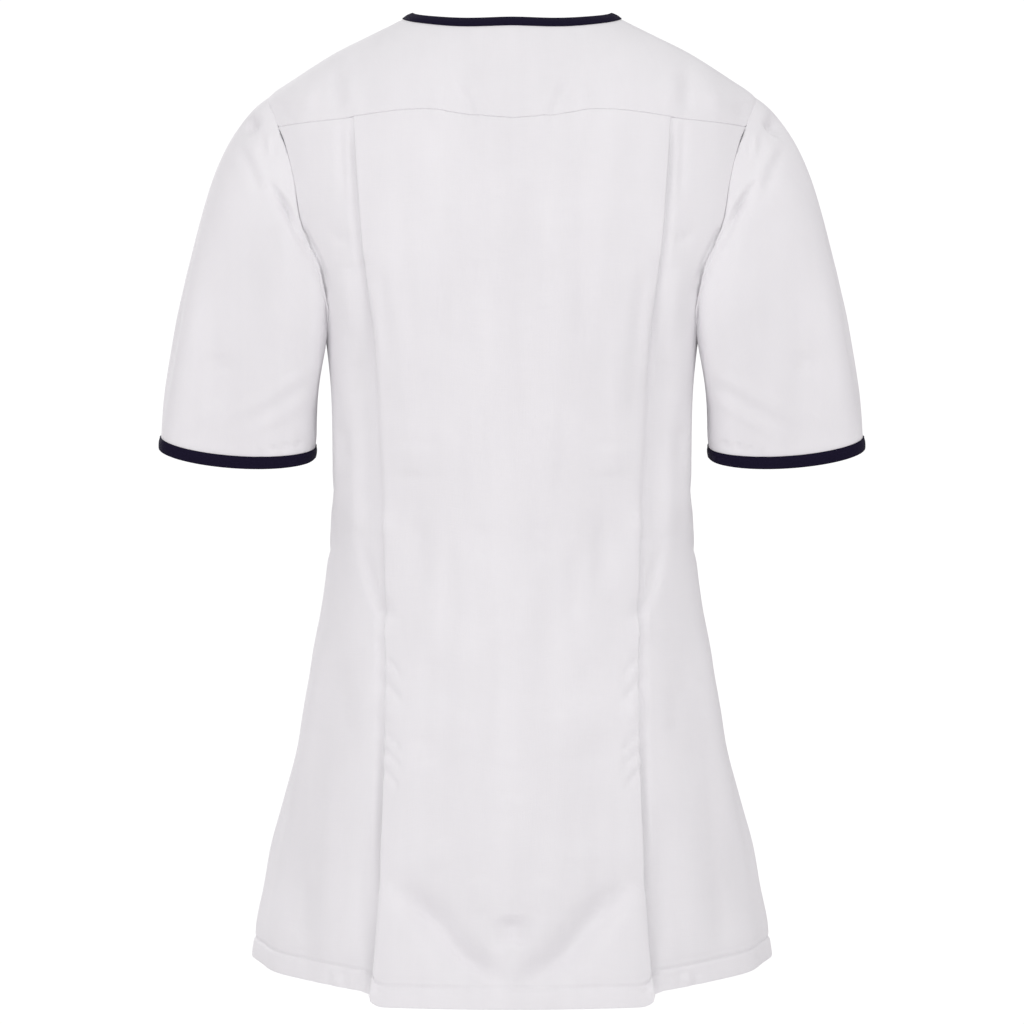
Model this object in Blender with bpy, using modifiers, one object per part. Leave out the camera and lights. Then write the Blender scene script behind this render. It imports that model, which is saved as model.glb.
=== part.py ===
"""A short-sleeved work tunic, worn shape, hollow and open at neck, cuffs and hem.

Metres. +Z is up, the front faces -Y and the wearer's left is +X. The origin is level
with the sides of the neck, in the middle of the shoulders. Each cut piece is a thin
shell on one shared body form, with a small gap to its neighbours along every seam.
"""

import bmesh
import bpy
from math import asin, cos, pi, sin, sqrt
from mathutils import Vector

CLOTH = 0.0012              # wall of a cloth panel
TAPE = 0.0010               # wall of the folded binding
SEAM = 0.0006               # gap between two pieces sewn edge to edge
LAYER = 0.0019              # from the middle of one pleat layer to the next
PLEAT_STEP = 0.011          # spacing of the panel lines under a pleat edge
PLEAT_TUCK = 0.0015         # the side panel stays down this far past the pleat edge
PLEAT_FLAT = 0.009          # and is level again here
FRONT_SINK = 0.0036         # how far the underlapping front runs below the other
BINDING_REACH = 0.0075      # binding from the cloth edge to its sewn edge
BINDING_GAP = 0.0008        # between the cloth and each leg of the binding
SLEEVE_CLEAR = 0.0004       # the sleeve starts this far outside the armhole seam
SLEEVE_PROUD = 0.0004       # and this much prouder than the body panels
UNDERARM_CLEAR = 0.0022     # rising by this much at its lowest point, beside the body
NECK_HALF_WIDTH = 0.0755
NECK_DIP = {"back": (0.0095, 1.0), "front": (0.075, 1.3)}   # drop, and how pointed
COLLAR_WIDTH = 0.012        # the first panel row runs this far outside the neck edge
COLLAR_CORNER = {"out": 0.0070, "back": 0.0040}     # and here beside the shoulder seam
UNDERARM_Z = -0.235         # lowest point of the armhole seam
SHOULDER_TIP_Z = -0.064     # and its highest
ARMHOLE_TURN = {"back": 32.5, "front": 35.0}    # degrees round the ring from the side
HEM_Z = -0.7110             # side seams
HEM_DROP_AT_PLEAT = 0.0175  # the back hem falls by this much towards the pleats
HEM_DROP_BEND = 1.15        # over 1 keeps it level for longer beside the side seam
CENTRE_BACK_EXTRA = 0.0075  # the centre back panel is longer than its neighbours
CENTRE_CORNER = 0.007       # its lower corners are rounded off by this much
PLEAT_OPEN = 0.0050         # and its hem stands this far off the side panels
PLEAT_OPEN_ROWS = 4         # the pleats open over the last rows above the hem

# The body form, ring by ring: height, half width, depth to the back and to the front,
# and how square the ring is on the back and on the front (2 is an ellipse).
RING_ROWS = (
    (0.046, 0.0000, 0.020, 0.020, 2.00, 2.00),
    (0.000, 0.0755, 0.046, 0.044, 2.00, 2.00),
    (-0.020, 0.1105, 0.062, 0.050, 2.00, 2.00),
    (-0.035, 0.1395, 0.072, 0.055, 2.00, 2.00),
    (-0.050, 0.1645, 0.080, 0.061, 2.00, 2.00),
    (-0.064, 0.1840, 0.086, 0.067, 2.00, 2.00),
    (-0.080, 0.1890, 0.091, 0.074, 2.05, 2.05),
    (-0.100, 0.1890, 0.096, 0.083, 2.15, 2.10),
    (-0.150, 0.1815, 0.103, 0.106, 2.45, 2.20),
    (-0.200, 0.1600, 0.1045, 0.123, 2.95, 2.25),
    (-0.235, 0.1435, 0.102, 0.130, 3.30, 2.30),
    (-0.270, 0.1375, 0.098, 0.130, 3.15, 2.30),
    (-0.320, 0.1352, 0.092, 0.121, 2.70, 2.25),
    (-0.370, 0.1367, 0.089, 0.112, 2.40, 2.20),
    (-0.420, 0.1410, 0.094, 0.111, 2.25, 2.20),
    (-0.480, 0.1500, 0.106, 0.117, 2.20, 2.20),
    (-0.540, 0.1608, 0.118, 0.126, 2.15, 2.15),
    (-0.600, 0.1735, 0.128, 0.133, 2.15, 2.15),
    (-0.660, 0.1860, 0.135, 0.139, 2.15, 2.15),
    (-0.695, 0.1925, 0.139, 0.142, 2.15, 2.15),
    (-0.720, 0.1932, 0.141, 0.144, 2.10, 2.10),
    (-0.740, 0.1935, 0.143, 0.145, 2.10, 2.10),
)
YOKE_SEAM_ROWS = (
    (0.0000, -0.0873),
    (0.0304, -0.0847),
    (0.0671, -0.0796),
    (0.1172, -0.0845),
    (0.1264, -0.0858),
    (0.1777, -0.0890),
)
PLEAT_EDGE_ROWS = (
    (-0.0845, 0.1172),
    (-0.1926, 0.1094),
    (-0.2947, 0.1003),
    (-0.3682, 0.0960),
    (-0.5137, 0.0927),
    (-0.6215, 0.0944),
    (-0.7400, 0.1020),
)
FRONT_OPENING_ROWS = (
    (-0.1000, 0.0610),
    (-0.2200, 0.0700),
    (-0.3700, 0.0730),
    (-0.5500, 0.0790),
    (-0.7400, 0.0870),
)
RINGS = {
    "columns": ("z", "half_width", "back", "front", "square_back", "square_front"),
    "rows": RING_ROWS,
}
YOKE_SEAM = {"columns": ("x", "z"), "rows": YOKE_SEAM_ROWS}
PLEAT_EDGE = {"columns": ("z", "x"), "rows": PLEAT_EDGE_ROWS}
FRONT_OPENING = {"columns": ("z", "x"), "rows": FRONT_OPENING_ROWS}
CHEST_LINE_Z = {"centre": -0.108, "armhole": -0.089}

# Sleeve: the outer and inner lines leave the armhole and reach the cuff at these angles
# below level, with these handle lengths.
SLEEVE = {
    "outer": {"leave": 34.0, "arrive": 82.6, "leave_pull": 0.0566, "arrive_pull": 0.1486},
    "inner": {"leave": 86.0, "arrive": 84.0, "leave_pull": 0.0300, "arrive_pull": 0.0300},
}
SLEEVE_BILLOW = {"back": 0.56, "front": -0.42}   # sideways part of the leaving direction
SLEEVE_FORWARD = -0.16                           # sideways part at the cuff: arms swing forward
CUFF = {"x": 0.2083, "y": -0.014, "z": -0.331, "half_width": 0.0575, "half_depth": 0.0530}
CUFF_SQUARE = 4.6                                    # 2 is an ellipse
CUFF_RISE = {"outwards": 0.07, "forwards": 0.23}     # slopes of the cuff's edge

NECK_SAMPLES = 60           # fine steps that measure the neck edge
NECK_CROWDING = 1.25        # over 1 brings the columns closer at the side of the neck
NECK_COLUMNS = 7            # panel columns from the centre to the side of the neck
SHOULDER_COLUMNS = 6        # and on to the shoulder tip
HALF_COLUMNS = NECK_COLUMNS + SHOULDER_COLUMNS
OPENING_COLUMN = 2          # the front panel column on the opening's edge
OPENING_TUCK = 0.2          # columns that the left front stays down past the opening
ARM_STEPS = 12              # steps down one half of the armhole
YOKE_STEPS = 3              # of which the zone above the chest line takes these
COLLAR_STEP = 0.5           # and its first row this much
SKIRT_ROWS = 9              # rows from the underarm to the hem
SLEEVE_ROWS = 8

COLOURS = {
    "cloth": (0.80, 0.79, 0.81, 1.0),
    "binding": (0.012, 0.010, 0.030, 1.0),
}


# ---------------------------------------------------------------- tables and the form

def lerp(a, b, t):
    return a + (b - a) * t


def read_table(table, x, name):
    """Smooth value of the named column of a table, at x of its first column."""
    column = table["columns"].index(name)
    rows = sorted(table["rows"])
    x = min(max(x, rows[0][0]), rows[-1][0])
    k = 0
    while k < len(rows) - 2 and x > rows[k + 1][0]:
        k += 1

    def slope(i):
        low, high = rows[max(i - 1, 0)], rows[min(i + 1, len(rows) - 1)]
        return (high[column] - low[column]) / (high[0] - low[0])

    step = rows[k + 1][0] - rows[k][0]
    t = (x - rows[k][0]) / step
    start, end = rows[k][column], rows[k + 1][column]
    return (
        start * (1 + 2 * t) * (1 - t) ** 2
        + end * t * t * (3 - 2 * t)
        + slope(k) * step * t * (1 - t) ** 2
        - slope(k + 1) * step * t * t * (1 - t)
    )


def ring(z, side):
    """Half width, depth and squareness of the body form at a height, on the back or front."""
    return tuple(read_table(RINGS, z, name) for name in ("half_width", side, "square_" + side))


def squared(value, square):
    """A sine or cosine, changed so that it gives a squarer ring; 2 leaves it as it is."""
    return abs(value) ** (2 / square) * (1 if value >= 0 else -1)


def on_body(turn, z, side):
    """Point of the form; turn is the angle round the ring from the centre line, in radians."""
    width, depth, square = ring(z, side)
    x = width * squared(sin(turn), square)
    y = depth * squared(max(cos(turn), 0.0), square)
    return Vector((x, y if side == "back" else -y, z))


def turn_at(x, z, side):
    width, _, square = ring(z, side)
    share = min(abs(x) / width, 1.0)
    return asin(share ** (square / 2)) * (1 if x >= 0 else -1)


def normal_at(turn, z, side):
    """Outward normal of the form."""
    step = 0.002
    turn = min(turn, pi / 2 - step)
    across = on_body(turn + step, z, side) - on_body(turn - step, z, side)
    down = on_body(turn, z - step, side) - on_body(turn, z + step, side)
    normal = across.cross(down).normalized()
    return normal if side == "back" else -normal


def ridge_z(x):
    """Height of the shoulder ridge at x, where the form is exactly that wide."""
    low, high = SHOULDER_TIP_Z, RING_ROWS[0][0]
    for _ in range(40):
        middle = (low + high) / 2
        if read_table(RINGS, middle, "half_width") > abs(x):
            low = middle
        else:
            high = middle
    return low


# ---------------------------------------------------------------- seam and edge lines

def armhole_point(step, side):
    """Point of the armhole seam; step runs from 0 at the shoulder tip to ARM_STEPS below."""
    whole = int(step)
    if step != whole:
        return armhole_point(whole, side).lerp(armhole_point(whole + 1, side), step - whole)
    angle = pi * step / ARM_STEPS
    z = lerp(SHOULDER_TIP_Z, UNDERARM_Z, (1 - cos(angle)) / 2)
    turn = (90.0 - ARMHOLE_TURN[side] * sin(angle)) * pi / 180
    return on_body(turn, z, side)


def neck_point(column, side):
    """x and z of the neck edge; column 0 is the centre and NECK_COLUMNS the side, where
    the columns are closer because the edge bends over the shoulder."""
    dip, roundness = NECK_DIP[side]
    fine = []
    travelled = [0.0]
    for k in range(NECK_SAMPLES + 1):
        angle = pi / 2 * k / NECK_SAMPLES
        x, z = NECK_HALF_WIDTH * sin(angle), -dip * cos(angle) ** roundness
        fine.append(on_body(turn_at(x, z, side), z, side))
        if k:
            travelled.append(travelled[-1] + (fine[-1] - fine[-2]).length)
    goal = travelled[-1] * (1 - (1 - column / NECK_COLUMNS) ** NECK_CROWDING)
    k = 0
    while k < NECK_SAMPLES - 1 and travelled[k + 1] < goal:
        k += 1
    share = (goal - travelled[k]) / (travelled[k + 1] - travelled[k])
    angle = pi / 2 * (k + share) / NECK_SAMPLES
    return NECK_HALF_WIDTH * sin(angle), -dip * cos(angle) ** roundness


def top_point(column, side):
    """x and z of the upper edge of a panel column: neck edge, then shoulder ridge."""
    if column <= NECK_COLUMNS:
        return neck_point(column, side)
    tip = armhole_point(0, side).x
    x = lerp(NECK_HALF_WIDTH, tip, (column - NECK_COLUMNS) / SHOULDER_COLUMNS)
    return x, ridge_z(x)


def first_free(side):
    """The first column outside the pleat lines, or the column of the front opening."""
    return OPENING_COLUMN if side == "front" else NECK_COLUMNS + 1


def chest_x(column, side):
    """x of a panel column where the upper zone of the panel ends."""
    first = first_free(side)
    x = NECK_HALF_WIDTH
    for _ in range(6):
        x = inner_x(min(column, first), chest_z(x, side), side)
    if column <= first:
        return x
    arm = armhole_point(YOKE_STEPS, side)
    share = (column - first) / (HALF_COLUMNS - first)
    turn = lerp(turn_at(x, arm.z, side), turn_at(arm.x, arm.z, side), share)
    return on_body(turn, arm.z, side).x


def chest_z(x, side):
    """Height at which the upper zone ends: the yoke seam, or a level line in front."""
    if side == "back":
        return read_table(YOKE_SEAM, abs(x), "z")
    arm = armhole_point(YOKE_STEPS, side).x
    return lerp(CHEST_LINE_Z["centre"], CHEST_LINE_Z["armhole"], min(abs(x) / arm, 1.0) ** 2)


def pleat_x(column, z):
    """x of the back columns about the pleat edge, which is column NECK_COLUMNS."""
    edge = read_table(PLEAT_EDGE, z, "x")
    from_edge = column - NECK_COLUMNS
    if from_edge > 0:
        return edge + PLEAT_FLAT * from_edge
    if from_edge >= -2:
        return edge + PLEAT_STEP * from_edge
    return (edge - 2 * PLEAT_STEP) * column / (NECK_COLUMNS - 2)


def hem_z(column, side):
    """The hem falls a little from the side seam to the back pleats and is level in front."""
    if side == "front":
        return HEM_Z
    towards = min((HALF_COLUMNS - column) / (HALF_COLUMNS - NECK_COLUMNS), 1.0)
    return HEM_Z - HEM_DROP_AT_PLEAT * towards ** HEM_DROP_BEND


# ---------------------------------------------------------------- panel grids

def ridge_drop(x, z):
    """x and the square root of the drop below the shoulder ridge. The round top of the
    shoulder is even in these two, so the upper zone is laid out in them."""
    return Vector((x, sqrt(max(ridge_z(x) - z, 0.0))))


def spot_over(x, y, side):
    """The same two values for the point of the form at x and y, near the shoulder."""
    low, high = 0.0, 0.5
    for _ in range(30):
        middle = (low + high) / 2
        z = ridge_z(x) - middle ** 2
        if abs(on_body(turn_at(x, z, side), z, side).y) < abs(y):
            low = middle
        else:
            high = middle
    return Vector((x, low))


def collar_spot(column, side):
    """Where a neck column passes the line that runs COLLAR_WIDTH outside the neck edge."""
    if column == NECK_COLUMNS:
        return spot_over(NECK_HALF_WIDTH + COLLAR_CORNER["out"], COLLAR_CORNER["back"], side)

    def on_edge(at):
        x, z = neck_point(at, side)
        return on_body(turn_at(x, z, side), z, side)

    edge = on_edge(column)
    along = on_edge(min(column + 0.2, NECK_COLUMNS)) - on_edge(max(column - 0.2, 0))
    outward = normal_at(turn_at(edge.x, edge.z, side), edge.z, side).cross(along).normalized()
    if outward.z > 0:
        outward = -outward
    spot = edge + outward * COLLAR_WIDTH
    return spot_over(spot.x, spot.y, side)


def upper_point(column, step, side):
    """Point of the zone above the chest line, at an armhole step from 0 to YOKE_STEPS.
    Columns that start at the neck reach the collar line at COLLAR_STEP."""
    arm = armhole_point(step, side)
    if column == HALF_COLUMNS:
        return arm
    top = ridge_drop(*top_point(column, side))
    chest = ridge_drop(chest_x(column, side), chest_z(chest_x(column, side), side))
    share = arm_share(step)
    if column > NECK_COLUMNS:
        spot = top.lerp(chest, share)
    elif step <= COLLAR_STEP:
        spot = top.lerp(collar_spot(column, side), step / COLLAR_STEP)
    else:
        rest = (step - COLLAR_STEP) / (YOKE_STEPS - COLLAR_STEP)
        spot = collar_spot(column, side).lerp(chest, rest)
    arm_top = ridge_drop(*top_point(HALF_COLUMNS, side))
    arm_end = armhole_point(YOKE_STEPS, side)
    bow = ridge_drop(arm.x, arm.z) - arm_top.lerp(ridge_drop(arm_end.x, arm_end.z), share)
    spot += bow * (column / HALF_COLUMNS) ** 2
    z = ridge_z(spot.x) - spot.y ** 2
    return on_body(turn_at(spot.x, z, side), z, side)


def arm_share(step):
    """Share of the upper zone's drop, square root taken, passed at an armhole step."""
    return sqrt((1 - cos(pi * step / ARM_STEPS)) / (1 - cos(pi * YOKE_STEPS / ARM_STEPS)))


def lower_spot(column, row, side):
    """Turn and height of a point below the chest line. Rows reach the underarm at
    ARM_STEPS and the hem SKIRT_ROWS later."""
    outer = pi / 2
    fade = max(ARM_STEPS - row, 0) / (ARM_STEPS - YOKE_STEPS)
    top_x = chest_x(column, side)
    if row < ARM_STEPS:
        arm = armhole_point(row, side)
        outer = turn_at(arm.x, arm.z, side)
        above = chest_z(top_x, side) - armhole_point(YOKE_STEPS, side).z
        z = arm.z + above * fade ** 1.5
    else:
        down = (row - ARM_STEPS) / SKIRT_ROWS
        z = lerp(UNDERARM_Z, hem_z(column, side), down)
    first = first_free(side)
    if column <= first:
        return turn_at(inner_x(column, z, side), z, side), z
    share = (column - first) / (HALF_COLUMNS - first)
    even = lerp(turn_at(inner_x(first, z, side), z, side), outer, share)
    top_z = chest_z(top_x, side)
    arm_top = armhole_point(YOKE_STEPS, side)
    top_inner = turn_at(inner_x(first, top_z, side), top_z, side)
    top_even = lerp(top_inner, turn_at(arm_top.x, arm_top.z, side), share)
    return even + (turn_at(top_x, top_z, side) - top_even) * fade, z


def inner_x(column, z, side):
    """x of the columns between the centre and the pleat or the front opening."""
    if side == "back":
        return pleat_x(column, z)
    return read_table(FRONT_OPENING, z, "x") * column / OPENING_COLUMN


def lower_point(column, row, side, sink=0.0):
    turn, z = lower_spot(column, row, side)
    return on_body(turn, z, side) - normal_at(turn, z, side) * sink


def mirror(point):
    return Vector((-point.x, point.y, point.z))


def hold_back(grid, edges, distance):
    """Draws the outer points of a grid in along its surface, square to the edge, to leave
    the seam gap."""
    columns = [list(line) for line in zip(*grid)]
    lines = {
        "top": (grid[0], grid[1]),
        "bottom": (grid[-1], grid[-2]),
        "start": (columns[0], columns[1]),
        "end": (columns[-1], columns[-2]),
    }
    shifts = []
    for name in edges:
        edge, within = lines[name]
        for k, (point, neighbour) in enumerate(zip(edge, within)):
            along = (edge[min(k + 1, len(edge) - 1)] - edge[max(k - 1, 0)]).normalized()
            inward = neighbour - point
            inward = (inward - along * inward.dot(along)).normalized()
            shifts.append((point, inward * distance))
    for point, shift in shifts:
        point += shift


# ---------------------------------------------------------------- objects

def make_material(name, roughness):
    material = bpy.data.materials.new(name)
    material.use_nodes = True
    shader = material.node_tree.nodes["Principled BSDF"]
    shader.inputs["Base Color"].default_value = COLOURS[name]
    shader.inputs["Roughness"].default_value = roughness
    shader.inputs["Metallic"].default_value = 0.0
    return material


def make_shell(name, grid, material, wall, closed=False):
    """An open sheet through a grid of points, thickened both ways by Solidify. A closed
    one joins its last column of points to its first."""
    rows, columns = len(grid), len(grid[0])
    mesh = bpy.data.meshes.new(name)
    sheet = bmesh.new()
    corners = [[sheet.verts.new(point) for point in row] for row in grid]
    for j in range(rows - 1):
        for i in range(columns if closed else columns - 1):
            k = (i + 1) % columns
            sheet.faces.new((corners[j][i], corners[j + 1][i], corners[j + 1][k], corners[j][k]))
    bmesh.ops.recalc_face_normals(sheet, faces=sheet.faces)
    sheet.to_mesh(mesh)
    sheet.free()
    mesh.shade_smooth()
    shell = bpy.data.objects.new(name, mesh)
    shell.data.materials.append(material)
    solidify = shell.modifiers.new("wall", "SOLIDIFY")
    solidify.thickness = wall
    solidify.offset = 0.0
    solidify.use_even_offset = True
    garment.objects.link(shell)
    return shell


def make_binding(name, edge, inward, material, closed=False):
    """A strip folded over a cloth edge: outer leg, turn and inner leg. At each point of
    the edge inward is the direction along the cloth away from it."""
    out = CLOTH / 2 + BINDING_GAP + TAPE / 2
    turn_back = CLOTH / 2 + TAPE / 2
    count = len(edge)
    legs = [[], [], [], []]
    for k, point in enumerate(edge):
        before = edge[(k - 1) % count] if closed or k > 0 else point
        after = edge[(k + 1) % count] if closed or k < count - 1 else point
        along = (after - before).normalized()
        into = inward[k].normalized()
        normal = along.cross(into)
        into *= 1 / normal.length
        normal.normalize()
        square_in = normal.cross(along)
        legs[0].append(point + into * BINDING_REACH + normal * out)
        legs[1].append(point - square_in * turn_back + normal * out)
        legs[2].append(point - square_in * turn_back - normal * out)
        legs[3].append(point + into * BINDING_REACH - normal * out)
    return make_shell(name, legs, material, TAPE, closed)


# ---------------------------------------------------------------- pieces

def build_yoke(cloth):
    columns = range(-HALF_COLUMNS, HALF_COLUMNS + 1)
    grid = []
    for k in range(int(YOKE_STEPS / COLLAR_STEP) + 1):
        half = [upper_point(c, k * COLLAR_STEP, "back") for c in range(HALF_COLUMNS + 1)]
        grid.append([half[c].copy() if c >= 0 else mirror(half[-c]) for c in columns])
    neck = [point.copy() for point in grid[0]]
    below = [point.copy() for point in grid[1]]
    hold_back(grid, ("top", "bottom", "start", "end"), SEAM / 2)
    make_shell("back_yoke", grid, cloth, CLOTH)
    middle = HALF_COLUMNS
    reach = slice(middle - NECK_COLUMNS, middle + NECK_COLUMNS + 1)
    return neck[reach], below[reach]


def back_rows():
    return range(YOKE_STEPS, ARM_STEPS + SKIRT_ROWS + 1)


def build_centre_back(cloth):
    """The centre panel, with both edges folded under as far as the second pleat column."""
    last = ARM_STEPS + SKIRT_ROWS
    grid = []
    for row in back_rows():
        opened = max(row - last + PLEAT_OPEN_ROWS, 0) / PLEAT_OPEN_ROWS
        lift = PLEAT_OPEN * opened ** 1.5
        half = [lower_point(column, row, "back", -lift) for column in range(NECK_COLUMNS + 1)]
        returns = [
            lower_point(column, row, "back", LAYER - lift)
            for column in range(NECK_COLUMNS, NECK_COLUMNS - 3, -1)
        ]
        if row == last:
            for column, point in enumerate(half):
                corner = CENTRE_CORNER if column == NECK_COLUMNS else 0.0
                point.z -= CENTRE_BACK_EXTRA - corner
            for column, point in enumerate(returns):
                point.z -= CENTRE_BACK_EXTRA - CENTRE_CORNER * (column == 0)
        wing = half[1:] + returns
        grid.append([mirror(point) for point in reversed(wing)] + [half[0]] + wing)
    hold_back(grid, ("top",), SEAM / 2)
    make_shell("back_centre", grid, cloth, CLOTH)


def build_side_back(suffix, cloth):
    """A side panel: two columns of pleat underlay, then the panel from pleat to side."""
    grid = []
    for row in back_rows():
        line = []
        for column in range(NECK_COLUMNS - 2, HALF_COLUMNS + 1):
            sink = 2 * LAYER if column <= NECK_COLUMNS else 0.0
            at = column + PLEAT_TUCK / PLEAT_FLAT if column == NECK_COLUMNS else column
            line.append(lower_point(at, row, "back", sink))
        if suffix == "R":
            line = [mirror(point) for point in line]
        grid.append(line)
    hold_back(grid, ("top", "end"), SEAM / 2)
    make_shell("back_side_" + suffix, grid, cloth, CLOTH)


def front_column(column, sink=0.0):
    """All points of one front column, from the neck or shoulder to the hem."""
    points = []
    for step in (0, COLLAR_STEP, *range(1, YOKE_STEPS)):
        point = upper_point(column, step, "front")
        if sink:
            turn = turn_at(point.x, point.z, "front")
            point = point - normal_at(turn, point.z, "front") * sink
        points.append(point)
    for row in range(YOKE_STEPS, ARM_STEPS + SKIRT_ROWS + 1):
        points.append(lower_point(column, row, "front", sink))
    return points


def build_fronts(cloth):
    """The right front carries on across the centre to the opening, over the left front."""
    right = [[mirror(p) for p in front_column(c)] for c in range(HALF_COLUMNS, 0, -1)]
    left = [front_column(column) for column in range(OPENING_COLUMN + 1)]
    over = [list(row) for row in zip(*(right + left))]
    tucked = OPENING_COLUMN + OPENING_TUCK
    hidden = [front_column(column, FRONT_SINK) for column in (OPENING_COLUMN - 1, tucked)]
    shown = [front_column(column) for column in range(OPENING_COLUMN + 1, HALF_COLUMNS + 1)]
    under = [list(row) for row in zip(*(hidden + shown))]
    over_neck = [over[0][k].copy() for k in range(SHOULDER_COLUMNS, len(over[0]))]
    over_below = [over[1][k].copy() for k in range(SHOULDER_COLUMNS, len(over[0]))]
    first = len(hidden)
    under_neck = [under[0][k].copy() for k in range(first, len(under[0]) - SHOULDER_COLUMNS)]
    under_below = [under[1][k].copy() for k in range(first, len(under[1]) - SHOULDER_COLUMNS)]
    hold_back(over, ("top", "start"), SEAM / 2)
    hold_back(under, ("top", "end"), SEAM / 2)
    make_shell("front_over", over, cloth, CLOTH)
    make_shell("front_under", under, cloth, CLOTH)
    return (over_neck, over_below), (under_neck, under_below)


def cuff_point(angle):
    """Point of the left cuff's edge. Its ring is squared, and the edge hangs in a round bow
    on the back face and stands up in one on the front face."""
    size = (abs(cos(angle)) ** CUFF_SQUARE + abs(sin(angle)) ** CUFF_SQUARE) ** (-1 / CUFF_SQUARE)
    across, behind = size * cos(angle), size * sin(angle)
    bow = sqrt(max(1 - across * across, 0.0)) * (1 if behind >= 0 else -1)
    rise = CUFF_RISE["outwards"] * CUFF["half_width"] * across - CUFF_RISE["forwards"] * CUFF["half_depth"] * bow
    return Vector((
        CUFF["x"] + CUFF["half_width"] * across,
        CUFF["y"] + CUFF["half_depth"] * behind,
        CUFF["z"] + rise,
    ))


def sleeve_grid(suffix):
    """Rows of points from the armhole to the cuff; each line of the sleeve is a Bezier
    curve that leaves the seam outwards and ends along the arm."""
    loop = 2 * ARM_STEPS
    grid = [[] for _ in range(SLEEVE_ROWS + 1)]
    for k in range(loop):
        side = "back" if k <= ARM_STEPS else "front"
        angle = 2 * pi * k / loop
        low = (1 - cos(angle)) / 2
        seam = armhole_point(k if side == "back" else loop - k, side)
        turn = turn_at(seam.x, seam.z, side) if k % ARM_STEPS else pi / 2
        outward = normal_at(turn, seam.z, side)
        shape = {
            key: lerp(SLEEVE["outer"][key], SLEEVE["inner"][key], low) for key in SLEEVE["outer"]
        }
        leave, arrive = shape["leave"] * pi / 180, shape["arrive"] * pi / 180
        billow = SLEEVE_BILLOW[side] * abs(sin(angle)) * 2 * low
        start_way = Vector((cos(leave), billow, -sin(leave)))
        end_way = Vector((cos(arrive), SLEEVE_FORWARD, -sin(arrive)))
        start_way.normalize()
        end_way.normalize()
        start = seam + start_way * SLEEVE_CLEAR
        start += outward * (SLEEVE_PROUD + UNDERARM_CLEAR * low)
        end = cuff_point(angle)
        first_handle = start + start_way * shape["leave_pull"]
        last_handle = end - end_way * shape["arrive_pull"]
        for row in range(SLEEVE_ROWS + 1):
            t = row / SLEEVE_ROWS
            point = (
                start * (1 - t) ** 3
                + first_handle * 3 * t * (1 - t) ** 2
                + last_handle * 3 * t * t * (1 - t)
                + end * t ** 3
            )
            grid[row].append(point if suffix == "L" else mirror(point))
    return grid


def build_sleeve(suffix, cloth, trim):
    grid = sleeve_grid(suffix)
    make_shell("sleeve_" + suffix, grid, cloth, CLOTH, closed=True)
    inward = [above - end for end, above in zip(grid[-1], grid[-2])]
    make_binding("cuff_binding_" + suffix, grid[-1], inward, trim, closed=True)


def build_neck_binding(back, over, under, trim):
    """One strip round the neck, from the overlapping front's edge round the back to the
    underlapping front. back, over and under each hold the neck edge and the row below."""
    edge = list(reversed(over[0]))
    below = list(reversed(over[1]))
    corner = len(edge) - 1
    edge += back[0][1:]
    below += back[1][1:]
    other_corner = len(edge) - 1
    edge += list(reversed(under[0]))[1:]
    below += list(reversed(under[1]))[1:]
    inward = [low - point for point, low in zip(edge, below)]
    ridge_x, ridge_top = top_point(NECK_COLUMNS + 1, "back")
    ridge = Vector((ridge_x, 0.0, ridge_top)) - edge[other_corner]
    inward[other_corner] = ridge
    inward[corner] = mirror(ridge)
    make_binding("neck_binding", edge, inward, trim)


for old in list(bpy.data.objects):
    bpy.data.objects.remove(old)
garment = bpy.data.collections.new("tunic")
bpy.context.scene.collection.children.link(garment)
white_cloth = make_material("cloth", 0.85)
dark_tape = make_material("binding", 0.75)

yoke_neck = build_yoke(white_cloth)
build_centre_back(white_cloth)
over_neck, under_neck = build_fronts(white_cloth)
for hand in ("L", "R"):
    build_side_back(hand, white_cloth)
    build_sleeve(hand, white_cloth, dark_tape)
build_neck_binding(yoke_neck, over_neck, under_neck, dark_tape)
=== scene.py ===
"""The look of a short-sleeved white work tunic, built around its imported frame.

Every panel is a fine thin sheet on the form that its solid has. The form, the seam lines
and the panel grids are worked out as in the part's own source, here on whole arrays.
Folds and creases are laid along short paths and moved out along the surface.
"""

from math import pi

import bmesh
import bpy
import numpy as np
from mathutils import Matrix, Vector


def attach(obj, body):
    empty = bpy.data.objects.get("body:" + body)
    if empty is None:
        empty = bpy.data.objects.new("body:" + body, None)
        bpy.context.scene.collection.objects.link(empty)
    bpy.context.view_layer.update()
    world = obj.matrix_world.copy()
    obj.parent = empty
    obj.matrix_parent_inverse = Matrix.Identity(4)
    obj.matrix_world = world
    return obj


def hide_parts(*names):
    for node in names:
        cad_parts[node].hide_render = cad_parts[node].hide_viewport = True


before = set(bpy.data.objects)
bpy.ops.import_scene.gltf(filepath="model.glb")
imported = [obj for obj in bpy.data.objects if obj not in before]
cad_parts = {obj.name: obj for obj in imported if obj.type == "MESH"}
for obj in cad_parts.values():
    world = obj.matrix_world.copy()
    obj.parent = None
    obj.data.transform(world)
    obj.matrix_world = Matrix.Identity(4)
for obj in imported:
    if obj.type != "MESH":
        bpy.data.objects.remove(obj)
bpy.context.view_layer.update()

# ---------------------------------------------------------------- sizes shared with the part

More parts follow.
